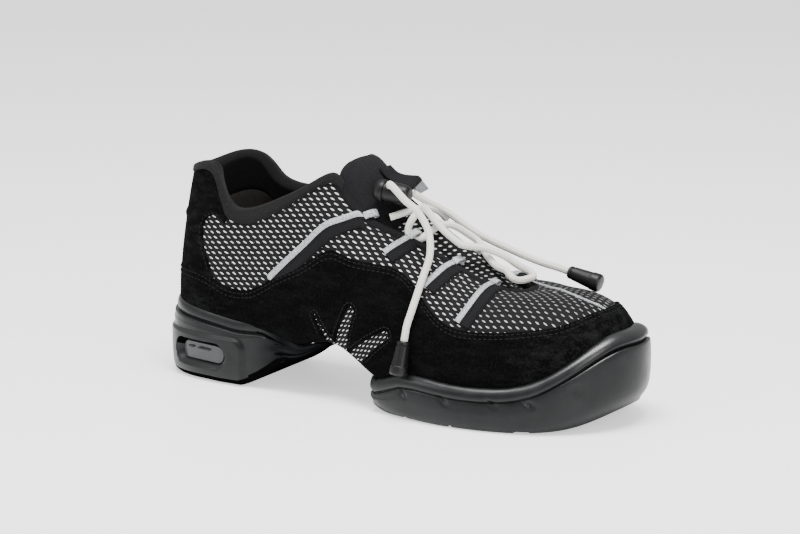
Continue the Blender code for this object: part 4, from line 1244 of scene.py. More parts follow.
    def collar(self) -> None:
        """Padded cuff that rolls over the collar to the inside."""
        end = LAST.u_of_row(self.cuff_end)
        u = np.linspace(-end, end, 320)
        low = self.cuff_edge(u)
        rows = []
        for share in np.linspace(0, 1, 14):
            swell = 1 - min(1.0, share / self.puff_share)
            puff = self.puff_edge + self.puff * math.sqrt(1 - swell**2)
            rows.append(LAST.skin(u, low + (1 - low) * share, puff if share else -0.3))
        rows += self.roll_over(u, self.cuff_outside, self.cuff_inside, self.cuff_roll, 13)
        for share in np.linspace(0, 1, 14):
            v = 1 - self.cuff_depth * share
            depth = -(wall_thickness(u, v) + self.cuff_inside - 0.7 * ease(share, 0.9, 1.0))
            rows.append(LAST.skin(u, v, depth))
        draft = Draft()
        crest = len(rows) // 2
        draft.grid(np.array(rows[:crest]))
        # Inside the crest of the roll the pad takes the darker inner cuff knit: painted shade.
        draft.grid(np.array(rows[crest - 1 :]), 1)
        pad = draft.build("Collar_pad", (self.skins.cuff, self.skins.inner), 70.0)
        settle(pad, RecordSlot.FABRIC)
        self.stitches.on_wall(u, low - self.cuff_seam, 0.1, 3.0)

    def trim(self) -> None:
        """Dark tape over the edge of the throat, with a row of stitches."""
        start = LAST.u_of_row(self.trim_start)
        u = np.linspace(start, LAST.period - start, 360)
        rows = []
        for share, lift in self.trim_face:
            rows.append(LAST.skin(u, 1 - self.trim_width * (1 - share), lift))
        along = ease(np.minimum(u, LAST.period - u), *LAST.u_of_row(self.trim_fade))
        rise = (self.trim_rise[0] + (self.trim_rise[1] - self.trim_rise[0]) * along)[:, None]
        rows += self.roll_over(u, self.trim_outside, self.trim_inside, rise, 7)
        for v in (1.0, 0.97, 0.95):
            rows.append(LAST.skin(u, v, -wall_thickness(u, v) - self.trim_inside))
        draft = Draft()
        draft.grid(np.array(rows))
        settle(draft.build("Throat_trim", (self.skins.webbing,), 60.0), RecordSlot.WEBBING)
        self.stitches.on_wall(u, np.full(len(u), 1 - self.trim_seam * self.trim_width), 0.75, 2.4)

    def rand(self) -> None:
        """Suede band round the foot, cut by the net prongs over the arch."""
        u = np.linspace(0, LAST.period, 480, endpoint=False)
        c = LAST.at(u)
        level = np.maximum(c[:, 11] - RAND_UNDER_BEAD, c[:, 2] + 0.3)
        low = np.array([LAST.v_of_z(k, z) for k, z in zip(u, level)])
        high = rand_top(u)
        face = [(share, RAND_LIFT) for share in np.linspace(0.12, 0.9, 16)]
        shape = (*self.rand_foot, *face, *self.rand_head)
        rows = [LAST.skin(u, low + (high - low) * share, lift) for share, lift in shape]
        draft = Draft()
        draft.grid(np.array(rows), 0, wrap_rows=True, wrap=True)
        rand = draft.build("Suede_rand", (self.skins.suede,))
        cut(rand, [self.prong_tool(prong) for prong in PRONGS])
        settle(rand, RecordSlot.SUEDE, "foxing")
        around = np.append(u, LAST.period)
        for inset in self.rand_seams:
            self.stitches.on_wall(around, rand_top(around) - inset, RAND_LIFT + 0.05)
        for prong in PRONGS:
            self.prong_stitches(prong)

    @staticmethod
    def prong_tool(prong: Prong) -> Piece:
        """Returns the bar that cuts one prong through both sides.

        Args:
            prong: The prong.

        Returns:
            A closed bar.
        """
        x, z = prong.outline().T
        ends = [np.stack([x, np.full(len(x), y), z], axis=1) for y in (-60.0, 60.0)]
        return make_closed("Prong_tool", np.array(ends), quads=False)

    def prong_stitches(self, prong: Prong) -> None:
        """Adds the dotted row round one prong, on both sides of the shoe.

        Args:
            prong: The prong.
        """
        u = np.linspace(0.05, 0.75, 400) * LAST.half
        v = np.linspace(0.02, 0.8, 240)
        grid = LAST.point(u[:, None], v[None, :])
        for side in (1, -1):
            wall = grid if side == 1 else LAST.point(-u[:, None], v[None, :])
            found = []
            for x, z in prong.outline(self.prong_seam):
                miss = (wall[..., 0] - x) ** 2 + (wall[..., 2] - z) ** 2
                i, j = np.unravel_index(np.argmin(miss), miss.shape)
                if miss[i, j] < 1.0 and v[j] < rand_top(u[i]) - 0.03 and z > LAST.at(u[i])[2] + 4:
                    found.append((side * u[i], v[j]))
            if len(found) > 3:
                places = np.array(found)
                self.stitches.on_wall(places[:, 0], places[:, 1], RAND_LIFT + 0.05, 2.3)

    def counter(self) -> None:
        """Suede panel round the back of the heel, up to the cuff, with a raised seam across it."""
        share = np.linspace(0, 1, 70)[:, None]
        across = np.linspace(-1, 1, 170)[None, :]
        guess = LAST.u_of_row(3.0) * np.abs(across)
        for _ in range(6):
            low = rand_top(guess) - 0.02
            v = low + (self.cuff_edge(guess) + 0.014 - low) * share
            guess = LAST.u_of_row(np.interp(v, *zip(*self.counter_edge))) * np.abs(across)
        u = guess * np.sign(across)
        row = np.interp(guess, LAST.knots[:10], np.arange(10))
        lift = 0.1 + self.panel_lift * ease(1 - np.abs(across), 0.0, self.panel_edge)
        seam = self.seam[0] + self.seam[1] * row
        fold = (v - seam) * SECTION_LENGTH
        raised = self.seam_rise * np.exp(-((fold / self.seam_wide) ** 2))
        lift = lift + raised * ease(np.abs(across), 0.999, 0.94)
        draft = Draft()
        draft.grid(LAST.skin(u, v, lift))
        settle(draft.build("Heel_counter", (self.skins.suede,)), RecordSlot.SUEDE, "heel_counter")
        for side in (-1, 1):
            edge = np.linspace(*self.counter_seam, 60)
            line = LAST.u_of_row(np.interp(edge, *zip(*self.counter_edge))) - self.counter_inset
            self.stitches.on_wall(side * line, edge, 0.95)

    def piping(self) -> None:
        """Thin wavy silver line over the toe, from the throat's front corner to the rand."""
        line = LAST.skin(*wall_route(self.piping_line, 0.8), 0.2)
        draft = Draft()
        add_tube(draft, tube(line, np.full(len(line), self.piping_radius), 10))
        settle(draft.build("Vamp_piping", (self.skins.silver,)), RecordSlot.WEBBING)


# Paths of the four bands, from the throat down to the rand.
BANDS = (
    ((9.75, 1.0), (9.51, 0.967), (9.25, 0.913), (8.88, 0.844), (8.47, 0.788), (8.1, 0.747),
     (7.8, 0.719), (7.57, 0.698), (7.11, 0.655), (6.82, 0.627), (6.32, 0.569), (5.86, 0.506)),
    ((11.0, 1.0), (10.9, 0.93), (10.75, 0.86), (10.6, 0.8)),
    ((12.1, 1.0), (11.98, 0.9), (11.86, 0.8), (11.65, 0.68)),
    ((13.6, 1.0), (13.44, 0.93), (13.15, 0.8), (12.85, 0.66), (12.5, 0.505)),
)


@dataclass
class BandMaker:
    """Webbing bands with a silver strip, and the silver loops past the throat."""

    skins: Skins
    stitches: StitchBook
    # Offset from the path in mm, lift above the wall, and 1 where the silver strip shows.
    profile: Table = (
        (-1.9, 0.0, 1), (-1.8, 1.15, 1), (-1.4, 1.45, 1), (-0.2, 1.5, 1), (1.0, 1.45, 1),
        (1.35, 1.2, 0), (1.6, 0.95, 0), (2.6, 1.05, 0), (4.3, 1.1, 0), (6.0, 1.05, 0), (6.9, 0.9, 0),
        (7.15, 0.5, 0), (7.2, 0.0, 0),
    )
    spacing: float = 1.2
    # How far a band goes under the rand's edge, in v.
    tuck: float = 0.03
    # Rows of stitches, as offsets from the path.
    seams: Sizes = (2.4, 6.3)
    tab_width: float = 3.8
    tab_thick: float = 1.0
    tab_reach: float = 6.6
    # Share of the way past the throat that the loop climbs along the wall.
    tab_climb: float = 0.8
    # Fold of the loop: share of its reach, and height out of the wall.
    tab_fold: Table = ((0.35, 0.9), (0.75, 0.7), (1.0, -0.5), (0.95, -1.9), (0.7, -2.8))

    def build(self) -> None:
        """Builds the four bands of both sides."""
        for number, path in enumerate(BANDS, 1):
            for name, side in (("lateral", 1), ("medial", -1)):
                self.band(f"band_{number}_{name}", path, side)

    @staticmethod
    def offset(u: Array, v: Array, run: Array, distance: float) -> tuple[Array, Array]:
        """Returns u and v moved over the wall, square to the run.

        Args:
            u: Places round the last.
            v: Places up the wall.
            run: Direction of the path at each place.
            distance: Distance in mm.

        Returns:
            The new u and v.
        """
        du = (LAST.point(u + 0.3, v) - LAST.point(u - 0.3, v)) / 0.6
        dv = (LAST.point(u, v + 0.005) - LAST.point(u, v - 0.005)) / 0.01
        square = unit(np.cross(np.cross(du, dv), run)) * distance
        aa, ab, bb = (np.sum(p * q, axis=1) for p, q in ((du, du), (du, dv), (dv, dv)))
        pa, pb = np.sum(du * square, axis=1), np.sum(dv * square, axis=1)
        whole = aa * bb - ab * ab
        return u + (pa * bb - pb * ab) / whole, v + (pb * aa - pa * ab) / whole

    def band(self, node: str, path: Route, side: int) -> None:
        """Builds one band.

        Args:
            node: Solid that it stands for.
            path: Places from the throat down to the rand.
            side: 1 for the lateral side, -1 for the medial.
        """
        u, v = wall_route(path, self.spacing)
        run = np.gradient(LAST.point(u, v), axis=0)
        columns = []
        for distance, lift, _ in self.profile:
            at, high = self.offset(u, v, run, distance)
            high = np.clip(high, rand_top(at) - self.tuck, 0.99)
            columns.append(LAST.skin(side * at, high, lift))
        draft = Draft()
        middle = LAST.normal(side * u[len(u) // 2], v[len(u) // 2])
        slots = [1 if silver else 0 for _, _, silver in self.profile[:-1]]
        draft.grid(np.stack(columns, axis=1), slots, facing=middle)
        self.tab(draft, side, u, v)
        piece = draft.build("Side_" + node, (self.skins.webbing, self.skins.silver), 50.0)
        settle(piece, RecordSlot.WEBBING, node)
        for distance in self.seams:
            at, high = self.offset(u, v, run, distance)
            keep = (high > rand_top(at) + 0.01) & (high < 0.97)
            if keep.sum() > 3:
                self.stitches.on_wall(side * at[keep], high[keep], 1.1, 2.2)

    def tab(self, draft: Draft, side: int, u: Array, v: Array) -> None:
        """Adds the loop that goes on past the throat, in line with the strip, and folds over the lace.

        Args:
            draft: The band.
            side: 1 for the lateral side, -1 for the medial.
            u: Places of its path round the last.
            v: Places of its path up the wall.
        """
        line = LAST.skin(side * u[:4], np.minimum(v[:4], 0.99), 1.0)
        edge = line[0]
        out = LAST.normal(side * u[0], 0.97)
        past = unit(line[0] - line[3])
        climb = unit(LAST.point(side * u[0], 1.0) - LAST.point(side * u[0], 0.96))
        past = unit(past + climb * self.tab_climb)
        places = [edge + past * share * self.tab_reach + out * rise for share, rise in self.tab_fold]
        path = smooth_route([edge - past * 0.2 + out * 0.4, *places], 0.6)
        across = np.repeat(np.cross(out, past)[None, :], len(path), axis=0)
        ribbon(draft, path, across, self.tab_width, self.tab_thick, 1)


class Crown(NamedTuple):
    """Crown of the tongue's outer face at a section number."""

    row: float
    x: float
    z: float


CROWNS = (
    Crown(8.05, 112.5, 121.0), Crown(8.7, 118.0, 119.3), Crown(9.2, 123.8, 114.6),
    Crown(9.7, 129.0, 108.5), Crown(10.3, 136.0, 101.5), Crown(11.0, 148.5, 93.0),
    Crown(11.6, 160.0, 86.0), Crown(12.2, 172.0, 78.5), Crown(12.9, 183.0, 71.3),
    Crown(13.6, 191.5, 65.6), Crown(14.4, 197.5, 61.5), Crown(15.2, 201.5, 59.0),
    Crown(16.0, 204.0, 58.0),
)


@dataclass
class TongueMaker:
    """Padded tongue with its pull loop and tag."""

    skins: Skins
    # Where the tongue ends under the throat's wall, its gap to it, its thickness and rounded top edge.
    edge_v: float = 0.86
    edge_share: float = 0.72
    clear: float = 0.8
    thick: float = 3.4
    top_round: float = 3.2
    fill: float = 0.6
    # Swelling of its upper end: height, and where it starts and ends along the tongue.
    puff: float = 0.5
    puff_start: Sizes = (2.0, 9.0)
    puff_end: Sizes = (22.0, 34.0)
    # Section numbers at which the dark band under the lock and the net start; the scale brings section
    # numbers near to mm.
    row_scale: float = 12.0
    net_row: float = 10.6
    net_fine: float = 1.25
    dark_band_row: float = 9.75
    sections: int = 110
    columns: int = 45
    pull_line: Table = (
        (122.8, 114.8), (124.8, 113.0), (127.0, 111.2), (130.6, 109.9), (135.6, 109.4), (139.4, 109.1),
        (140.6, 107.9), (139.4, 106.9), (134.6, 106.8), (131.0, 107.2),
    )
    tag_line: Table = ((138.0, 108.6), (140.4, 107.4), (142.2, 105.9), (144.0, 104.0))
    tag_y: float = 1.6
    tag_width: float = 7.6
    width: float = 10.6
    pull_thick: float = 1.3
    tag_thick: float = 0.9
    # The pull hangs over towards the lateral side.
    tilt: float = math.radians(32.0)

    def build(self) -> None:
        """Builds the tongue, the pull and the tag."""
        self.pad()
        self.pull()

    def section(self, row: float, x: float, z: float, depth: float) -> Array:
        """Returns one section of a face, depth below the outer face, from lateral to medial.

        Args:
            row: Section number.
            x: Place of its crown.
            z: Height of its crown.
            depth: Distance in mm.

        Returns:
            A row of points.
        """
        across = np.linspace(-1, 1, self.columns)
        stops = np.array([-1, -self.edge_share, 0, self.edge_share, 1])
        u = float(LAST.u_of_row(row))
        knots = []
        for at, v in ((u, self.edge_v), (u, 1.0), (-u, 1.0), (-u, self.edge_v)):
            inside = wall_thickness(at, v) + self.clear + depth
            knots.append(LAST.point(at, v) - LAST.normal(at, v) * inside)
        knots.insert(2, np.array([x, 0.0, z - depth]))
        knots = np.array(knots)
        slope = np.diff(knots, axis=0) / np.diff(stops)[:, None]
        lean = np.array([slope[0], slope[0], 0.5 * (slope[1] + slope[2]), slope[3], slope[3]])
        part = np.clip(np.searchsorted(stops, across, side="right") - 1, 0, 3)
        span = np.diff(stops)[part][:, None]
        t = (across - stops[part])[:, None] / span
        curve = (2 * t**3 - 3 * t**2 + 1) * knots[part] + (t**3 - 2 * t**2 + t) * span * lean[part]
        return curve + (3 * t**2 - 2 * t**3) * knots[part + 1] + (t**3 - t**2) * span * lean[part + 1]

    def pad(self) -> None:
        """Tongue with a rounded top edge, plain fabric above, a dark band of webbing across it under the
        lock and net below.
        """
        route = smooth_route([(c.row * self.row_scale, c.x, c.z) for c in CROWNS], 0.8)
        length = walked(route[:, 1:])
        pick = np.linspace(0, length[-1], self.sections)
        crowns = spots_at(route, length, pick)
        outer, inner = [], []
        for (row, x, z), reach in zip(crowns, pick):
            round_off = 1 - math.sqrt(max(0.0, 1 - max(0.0, 1 - reach / self.top_round) ** 2))
            puff = self.puff * float(ease(reach, *self.puff_start) * (1 - ease(reach, *self.puff_end)))
            outer.append(self.section(row / self.row_scale, x, z, 0.5 * self.thick * round_off - puff))
            inner.append(self.section(row / self.row_scale, x, z, self.thick * (1 - 0.5 * round_off)))
        sheet = np.concatenate([np.array(inner)[::-1], np.array(outer)])
        draft = Draft()
        index = draft.add_points(sheet).reshape(sheet.shape[0:2])
        dark_band_from, net_from = (int(np.searchsorted(crowns[:, 0], row * self.row_scale)) + self.sections
                               for row in (self.dark_band_row, self.net_row))
        for i in range(len(sheet) - 1):
            a, b = index[i], index[i + 1]
            quads = np.stack([a[:-1], b[:-1], b[1:], a[1:]], axis=1)
            draft.add_faces(quads, 1 if i >= net_from else 2 if i >= dark_band_from else 0)
        tongue = draft.build("Tongue", (self.skins.tongue, self.skins.net, self.skins.webbing), 75.0)
        along = np.concatenate([pick[::-1], pick])
        flat = self.net_fine * np.stack([np.repeat(along, self.columns), -sheet[..., 1].ravel()], axis=1)
        map_piece(tongue, NET_MAP, flat)
        fix_facing(tongue, len(draft.faces) - 20, Vector((0.6, 0.0, 0.8)))
        settle(tongue, RecordSlot.FABRIC, "tongue")

    def pull(self) -> None:
        """Folded webbing pull on the tongue, and a plain tag sewn into its fold."""
        path = smooth_route([(x, 0.0, z) for x, z in self.pull_line], 0.7)
        tilt = np.linspace(0.0, self.tilt, len(path))
        across = np.stack([0 * tilt, np.cos(tilt), np.sin(tilt)], axis=1)
        draft = Draft()
        ribbon(draft, path, across, self.width, self.pull_thick)
        settle(draft.build("Pull_loop", (self.skins.webbing,)), RecordSlot.WEBBING, "pull_loop")
        path = smooth_route([(x, self.tag_y, z) for x, z in self.tag_line], 0.7)
        draft = Draft()
        ribbon(draft, path, np.repeat(across[-1:], len(path), axis=0), self.tag_width, self.tag_thick)
        settle(draft.build("Pull_tag", (self.skins.tag,)), RecordSlot.WEBBING)


def fix_facing(piece: Piece, face: int, direction: Vector) -> None:
    """Turns a piece's faces so that one of them faces a direction.

    Args:
        piece: The piece.
        face: Number of the face.
        direction: Where it should face.
    """
    piece.data.update()
    if piece.data.polygons[face].normal.dot(direction) < 0:
        piece.data.flip_normals()


def make_closed(name: str, rows: Array, skins: Sequence[Material] = (), sharp: float = 42.0,
                quads: bool = True) -> Piece:
    """Returns a closed piece from its rings.

    Args:
        name: Name of the piece.
        rows: Rings by points.
        skins: Its materials.
        sharp: Degrees between faces from which an edge stays sharp.
        quads: Whether its ends are filled by quads from side to side, or by one face each.

    Returns:
        The piece, with its faces outward.
    """
    draft = Draft()
    index = draft.grid(rows, 0, wrap=True)
    if quads:
        # Both ends run the same way round, which keeps the edge of the first one sharp.
        half = range(rows.shape[1] // 2)
        faces = [dict.fromkeys((r[j], r[j + 1], r[-j - 1], r[-j])) for r in index[[0, -1]] for j in half]
        draft.add_faces([list(face) for face in faces if len(face) > 2])
    else:
        draft.add_faces([index[0][::-1], index[-1]])
    made = draft.build(name, skins, sharp)
    fix_outward(made)
    return made


def round_corners(profile: Array, times: int = 2) -> Array:
    """Returns a run of points with its corners cut off softly.

    Args:
        profile: Points of the run.
        times: How often its corners are cut.

    Returns:
        The points.
    """
    for _ in range(times):
        first = 0.75 * profile[:-1] + 0.25 * profile[1:]
        second = 0.25 * profile[:-1] + 0.75 * profile[1:]
        middle = np.stack([first, second], axis=1).reshape(-1, profile.shape[1])
        profile = np.concatenate([profile[:1], middle[1:-1], profile[-1:]])
    return profile


@dataclass
class SoleMaker:
    """The heel and forefoot units of the split sole, with the heel's windows."""

    skins: Skins
    # Where each unit's sides end, and how far its round end reaches under the arch.
    heel_end: float = 98.0
    heel_tip: float = 111.0
    fore_start: float = 143.0
    fore_tip: float = 135.0
    # Height under which a unit's profile shrinks, and its lower edge: inset, and rise from the ground.
    tall: float = 14.0
    low_rows: Table = ((8.0, 0.0), (2.4, 0.7), (0.6, 3.2))
    # Shoulder under the bead: inset from the widest line, drop from the bead's top.
    shoulder_rows: Table = ((0.3, 11.0), (0.8, 8.2), (1.2, 7.2))
    # Groove and underside of the bead: inset from the roll's outer line, drop from its top.
    groove_rows: Table = ((2.7, 6.9), (2.8, 6.6), (1.3, 6.2), (0.4, 5.5))
    # Share of the groove's depth at the heel and at the forefoot.
    heel_groove: float = 0.4
    fore_groove: float = 0.62
    # Roll of the bead: steps, how far it stands out against x, its height, and its gap to the upper's wall.
    roll_steps: int = 9
    roll_out: Table = (
        (0.0, -1.6), (66.0, -1.4), (100.0, 0.0), (150.0, 0.4), (225.0, 0.4), (248.0, -1.2),
        (262.0, -1.8),
    )
    roll_tall: float = 4.8
    roll_gap: float = 0.95
    toe_round: Sizes = (222.0, 256.0)
    seat_shares: Sizes = (0.1, 0.2, 0.7)
    # Least side wall, and the seat's gap to the upper.
    least_wall: float = 1.3
    seat_gap: float = 0.25
    # Round end under the arch: stations on either half, squareness, spread, and drop from the upper.
    end_stations: int = 16
    end_power: float = 0.7
    end_spread: float = 1.6
    end_drop: float = 0.6
    heel_ledge: float = 1.4
    # Raised panel round the heel: its front end, top and corner radius; its ledge fades under the arch.
    panel_x: float = 59.0
    panel_z: float = 24.3
    panel_round: float = 6.0
    ledge_fade: Sizes = (72.0, 96.0)
    # Rows up the side, as shares of its height, at the forefoot and at the heel.
    fore_shares: Sizes = (0.38,)
    side_shares: Sizes = (0.3, 0.4, 0.47, 0.53, 0.57, 0.61, 0.65, 0.69, 0.74)
    # Ridges under the arch: depth, number, and where they fade in.
    ridge_depth: float = 0.3
    ridges: float = 3.5
    ridge_fade: Sizes = (66.0, 84.0)
    # Wrinkles: cosine and sine of their slant, depth, half length and half width, and their places.
    dent_slant: Sizes = (0.75, 0.66)
    dent_depth: float = 1.5
    dent: Sizes = (2.6, 0.8)
    dents: Table = ((160.3, 14.0), (183.5, 13.8), (208.3, 14.8), (224.8, 15.8), (243.5, 22.8))
    window_x: float = 30.0
    window_z: float = 14.2
    window: Sizes = (37.0, 14.0)
    window_floor: Sizes = (31.0, 9.0)
    window_depth: float = 4.2
    tool_reach: float = 4.0
    pane: Sizes = (30.6, 8.6)
    # Dark slits in the pane, dark plates that paint the shade in them: their height and rise, then place
    # along it from its middle, and length.
    slit_tall: float = 0.9
    slit_rise: float = 1.9
    slits: Table = ((-8.5, 4.5), (1.5, 9.0))
    slots: Table = ((160.0, 3.0), (186.0, 3.0), (222.0, 9.0))
    slot_depth: float = 1.3
    # Steepest normal that takes the tread rubber: looser on the heel's low faces, where it is painted
    # shade, and steep on the real tread.
    arch_shade_facing: float = -0.25
    tread_facing: float = -0.85
    # On the heel unit the tread's rubber also takes faces that lean down less, up to this height and past
    # this x to the bead: painted shade.
    painted_shade_high: float = 21.5
    painted_shade_x: float = 66.0

    def build(self) -> None:
        """Builds both units, the windows and the tread slots."""
        reach = float(LAST.u_of_x(self.heel_end))
        heel = self.unit("Heel_unit", np.linspace(-reach, reach, 201), self.heel_tip, self.heel_ledge)
        plate = ("Window_tool", self.window, -self.window_depth, self.tool_reach)
        cut(heel, [self.window_plate(*plate, mirror, self.window_floor) for mirror in (False, True)])
        self.tread(heel, self.arch_shade_facing)
        settle(heel, RecordSlot.RUBBER, "heel_sole")
        start = float(LAST.u_of_x(self.fore_start))
        fore = self.unit("Forefoot_unit", np.linspace(start, LAST.period - start, 261), self.fore_tip, 0.0)
        cut(fore, [self.slot_tool(x, width) for x, width in self.slots])
        self.tread(fore, self.tread_facing)
        settle(fore, RecordSlot.RUBBER, "forefoot_sole")
        for name, mirror in (("lateral", False), ("medial", True)):
            pane = self.window_plate(f"Window_{name}", self.pane, -self.window_depth - 0.3,
                                     0.6 - self.window_depth, mirror)
            pane.data.materials.append(self.skins.pane)
            settle(pane, RecordSlot.PANE, f"heel_window_{name}")
            # Each slit is a dark plate on the pane: painted shade of an opening.
            for number, (along, length) in enumerate(self.slits, 1):
                slit = self.window_plate(f"Window_slit_{number}_{name}", (length, self.slit_tall),
                                         0.3 - self.window_depth, 0.75 - self.window_depth, mirror, None,
                                         along, self.slit_rise)
                slit.data.materials.append(self.skins.slit)
                settle(slit, RecordSlot.PANE)

    def tread(self, unit_piece: Piece, facing: float) -> None:
        """Gives the low faces that look down, further than facing, the matt tread rubber, which is painted
        shade on the heel's flanks under the arch.

        Args:
            unit_piece: The unit.
            facing: Height of the steepest normal that counts.
        """
        mesh = unit_piece.data
        mesh.materials.append(self.skins.tread)
        for face in mesh.polygons:
            x, _, z = np.array(face.center) / MM + ORIGIN
            under = x > self.painted_shade_x or z < self.painted_shade_high
            if face.normal.z < (facing if under else self.tread_facing):
                face.material_index = 1

    @staticmethod
    def lip(u: float | None, place: Array, side: Array, z: float) -> float:
        """Returns the nearest that the unit comes to the upper at height z.

        Args:
            u: Place round the last, or None under the arch.
            place: Feather point.
            side: Direction out from it.
            z: Height in mm.

        Returns:
            Distance from the feather point.
        """
        if u is None:
            return 0.0
        if z < place[2] - GAP:
            return GAP
        wall = LAST.point(u, LAST.v_of_z(u, z))
        return GAP + float(np.dot(wall - place, side))

    def stations(self, u: Array, tip: float) -> tuple[Array, list, list]:
        """Returns feather points, sole columns and wall places round a unit's outline.

        Args:
            u: Places along the unit's sides.
            tip: Where its round end reaches to.

        Returns:
            One of each for every station.
        """
        base = [LAST.at(k)[0:3] for k in u]
        columns = [np.array([max(LAST.at(k)[10], 0.0), *LAST.at(k)[11:13]]) for k in u]
        wall: list[float | None] = list(u)
        start, end = base[-1], base[0]
        middle = 0.5 * (start + end)
        for turn in np.linspace(0, np.pi, 2 * self.end_stations + 1)[1:-1]:
            reach = math.sin(turn) ** self.end_power
            swing = math.copysign(abs(math.cos(turn)) ** self.end_power, math.cos(turn))
            place = middle + (start - middle) * swing
            place[0] = start[0] + (tip - start[0]) * reach
            place[2] = LAST.underside(place[0])
            column = LAST.at(LAST.u_of_x(place[0]))
            spread = column[12] * (1 - reach) + self.end_spread * reach
            bead = min(column[11], place[2] - GAP) * (1 - reach) + (place[2] - self.end_drop) * reach
            base.append(place)
            columns.append(np.array([max(column[10], 0.0), bead, spread]))
            wall.append(None)
        return np.array(base), columns, wall

    def unit(self, name: str, u: Array, tip: float, ledge: float) -> Piece:
        """Returns one unit along u, closed by a round end at x = tip under the arch.

        Args:
            name: Name of the unit.
            u: Places along its sides.
            tip: Where its round end reaches to.
            ledge: Step round the heel's panel.

        Returns:
            The closed unit.
        """
        base, columns, wall = self.stations(u, tip)
        run = np.roll(base, -1, axis=0) - np.roll(base, 1, axis=0)
        run[:, 2] = 0
        run = unit(run)
        out = np.stack([run[:, 1], -run[:, 0], 0 * run[:, 0]], axis=1)
        loops = []
        for place, side, (ground, bead, spread), at in zip(base, out, columns, wall):
            size = min(1.0, (bead - ground) / self.tall)
            foot = size * (1 + float(ease(place[0], *self.toe_round)))
            pairs = [(spread - inset * foot, ground + rise * foot) for inset, rise in self.low_rows]
            for share in self.side_shares if ledge else self.fore_shares:
                pairs.append((spread, ground + share * (bead - ground)))
            groove = (self.heel_groove if ledge else self.fore_groove) * size
            inner = self.lip(at, place, side, bead) + self.roll_gap * size
            outer = max(spread + float(np.interp(place[0], *zip(*self.roll_out))) * size, inner + size)
            for edge, rows in ((spread, self.shoulder_rows), (outer, self.groove_rows)):
                pairs += [(edge - inset * groove, bead - drop * size) for inset, drop in rows]
            least = self.least_wall * size
            pairs = [(max(reach, self.lip(at, place, side, z) + least), z) for reach, z in pairs]
            for turn in np.linspace(0, 0.5 * np.pi, self.roll_steps):
                z = bead - self.roll_tall * size * (1 - math.sin(turn))
                reach = inner + (outer - inner) * math.cos(turn)
                pairs.append((max(reach, self.lip(at, place, side, z) + self.roll_gap * size), z))
            seat = place[2] - GAP
            for part in self.seat_shares:
                z = bead + (seat - bead) * part
                pairs.append((self.lip(at, place, side, z) + self.seat_gap * (1 - part), z))
            pairs.append((GAP, seat))
            profile = round_corners(np.array(pairs))
            profile[:, 0] -= self.wrinkles(place[0], profile[:, 1], ground, bead, at is not None, ledge)
            loops.append(place * (1, 1, 0) + side * profile[:, 0:1] + UP * profile[:, 1:2])
        # The rings start at the middle of the sides.
        rings = np.roll(np.array(loops), -(len(u) // 2), axis=0).transpose(1, 0, 2)
        return make_closed(name, rings, (self.skins.rubber,), 60.0)

    def wrinkles(self, x: float, z: Array, ground: float, bead: float, on_side: bool,
                 ledge: float) -> Array:
        """Returns how deep the side is pressed in.

        The heel's side steps in round its raised panel and is finely ridged under the arch; the
        forefoot's side has slanting wrinkles.

        Args:
            x: Place along the shoe.
            z: Heights of the side's points.
            ground: Height of its lower edge.
            bead: Height of its bead's top.
            on_side: False round the end under the arch.
            ledge: Depth of the step round the heel's panel, 0 at the forefoot.

        Returns:
            Depths in mm.
        """
        depth = np.zeros(len(z))
        if ledge:
            past = np.maximum(x - self.panel_x + self.panel_round, 0.0)
            over = np.maximum(z - self.panel_z + self.panel_round, 0.0)
            outside = ease(np.hypot(past, over) - self.panel_round, -0.9, 0.9)
            share = (z - ground) / max(bead - ground, 1.0)
            ridge = self.ridge_depth * float(ease(x, *self.ridge_fade)) * np.cos(share * TURN * self.ridges)
            clear = ease(share, 0.02, 0.1) * ease(share, 0.75, 0.62)
            return ledge * (1 - float(ease(x, *self.ledge_fade))) * outside + ridge * clear
        cos, sin = self.dent_slant
        for dent_x, dent_z in self.dents:
            along = (x - dent_x) * cos - (z - dent_z) * sin
            across = (x - dent_x) * sin + (z - dent_z) * cos
            spread = (along / self.dent[0]) ** 2 + (across / self.dent[1]) ** 2
            depth = depth + self.dent_depth * np.exp(-spread)
        return depth if on_side else np.zeros(len(z))

    def window_plate(self, name: str, size: tuple[float, float], low: float, high: float, mirror: bool,
                     floor: tuple[float, float] | None = None, shift: float = 0.0,
                     rise: float = 0.0) -> Piece:
        """Returns an oblong plate that follows the heel's side.

        Args:
            name: Name of the plate.
            size: Length and height at its outer face.
            low: Place of its inner face, out from the heel's widest line.
            high: Place of its outer face.
            mirror: Whether it lies on the medial side.
            floor: Length and height at its inner face, if they differ.
            shift: Distance of its middle from the window's, towards the toe.
            rise: Height of its middle over the window's.

        Returns:
            The plate.
        """
        u = np.linspace(0, LAST.u_of_x(80.0), 300)
        line = LAST.at(u)[:, 0:3] + LAST.out(u) * LAST.at(u)[:, 12:13]
        length = walked(line[:, 0:2])
        middle = np.interp(self.window_x, line[:, 0], length)
        rows = []
        sizes = ((floor or size, low), (size, min(high, 0.0)), (size, high))
        for (wide, tall), reach in sizes:
            radius = tall / 2
            turn = np.linspace(0, 2 * np.pi, 56, endpoint=False)
            along = np.where(np.cos(turn) > 0, 1, -1) * (wide / 2 - radius) + radius * np.cos(turn)
            at = np.interp(middle + shift + along, length, u)
            ring = LAST.at(at)[:, 0:3] + LAST.out(at) * (LAST.at(at)[:, 12:13] + reach)
            ring[:, 2] = self.window_z + rise + radius * np.sin(turn)
            rows.append(ring * (1, -1, 1) if mirror else ring)
        if high <= 0:
            rows.pop(1)
        return make_closed(name, np.array(rows))

    def slot_tool(self, x: float, width: float) -> Piece:
        """Returns the bar that cuts one slot across the tread.

        Args:
            x: Middle of the slot.
            width: Its width in mm.

        Returns:
            A closed bar.
        """
        corners = ((-1, -1), (1, -1), (0.8, 1), (-0.8, 1))
        ends = [[(x + a * width / 2, y, z * self.slot_depth) for a, z in corners] for y in (-70.0, 70.0)]
        return make_closed("Slot_tool", np.array(ends), quads=False)


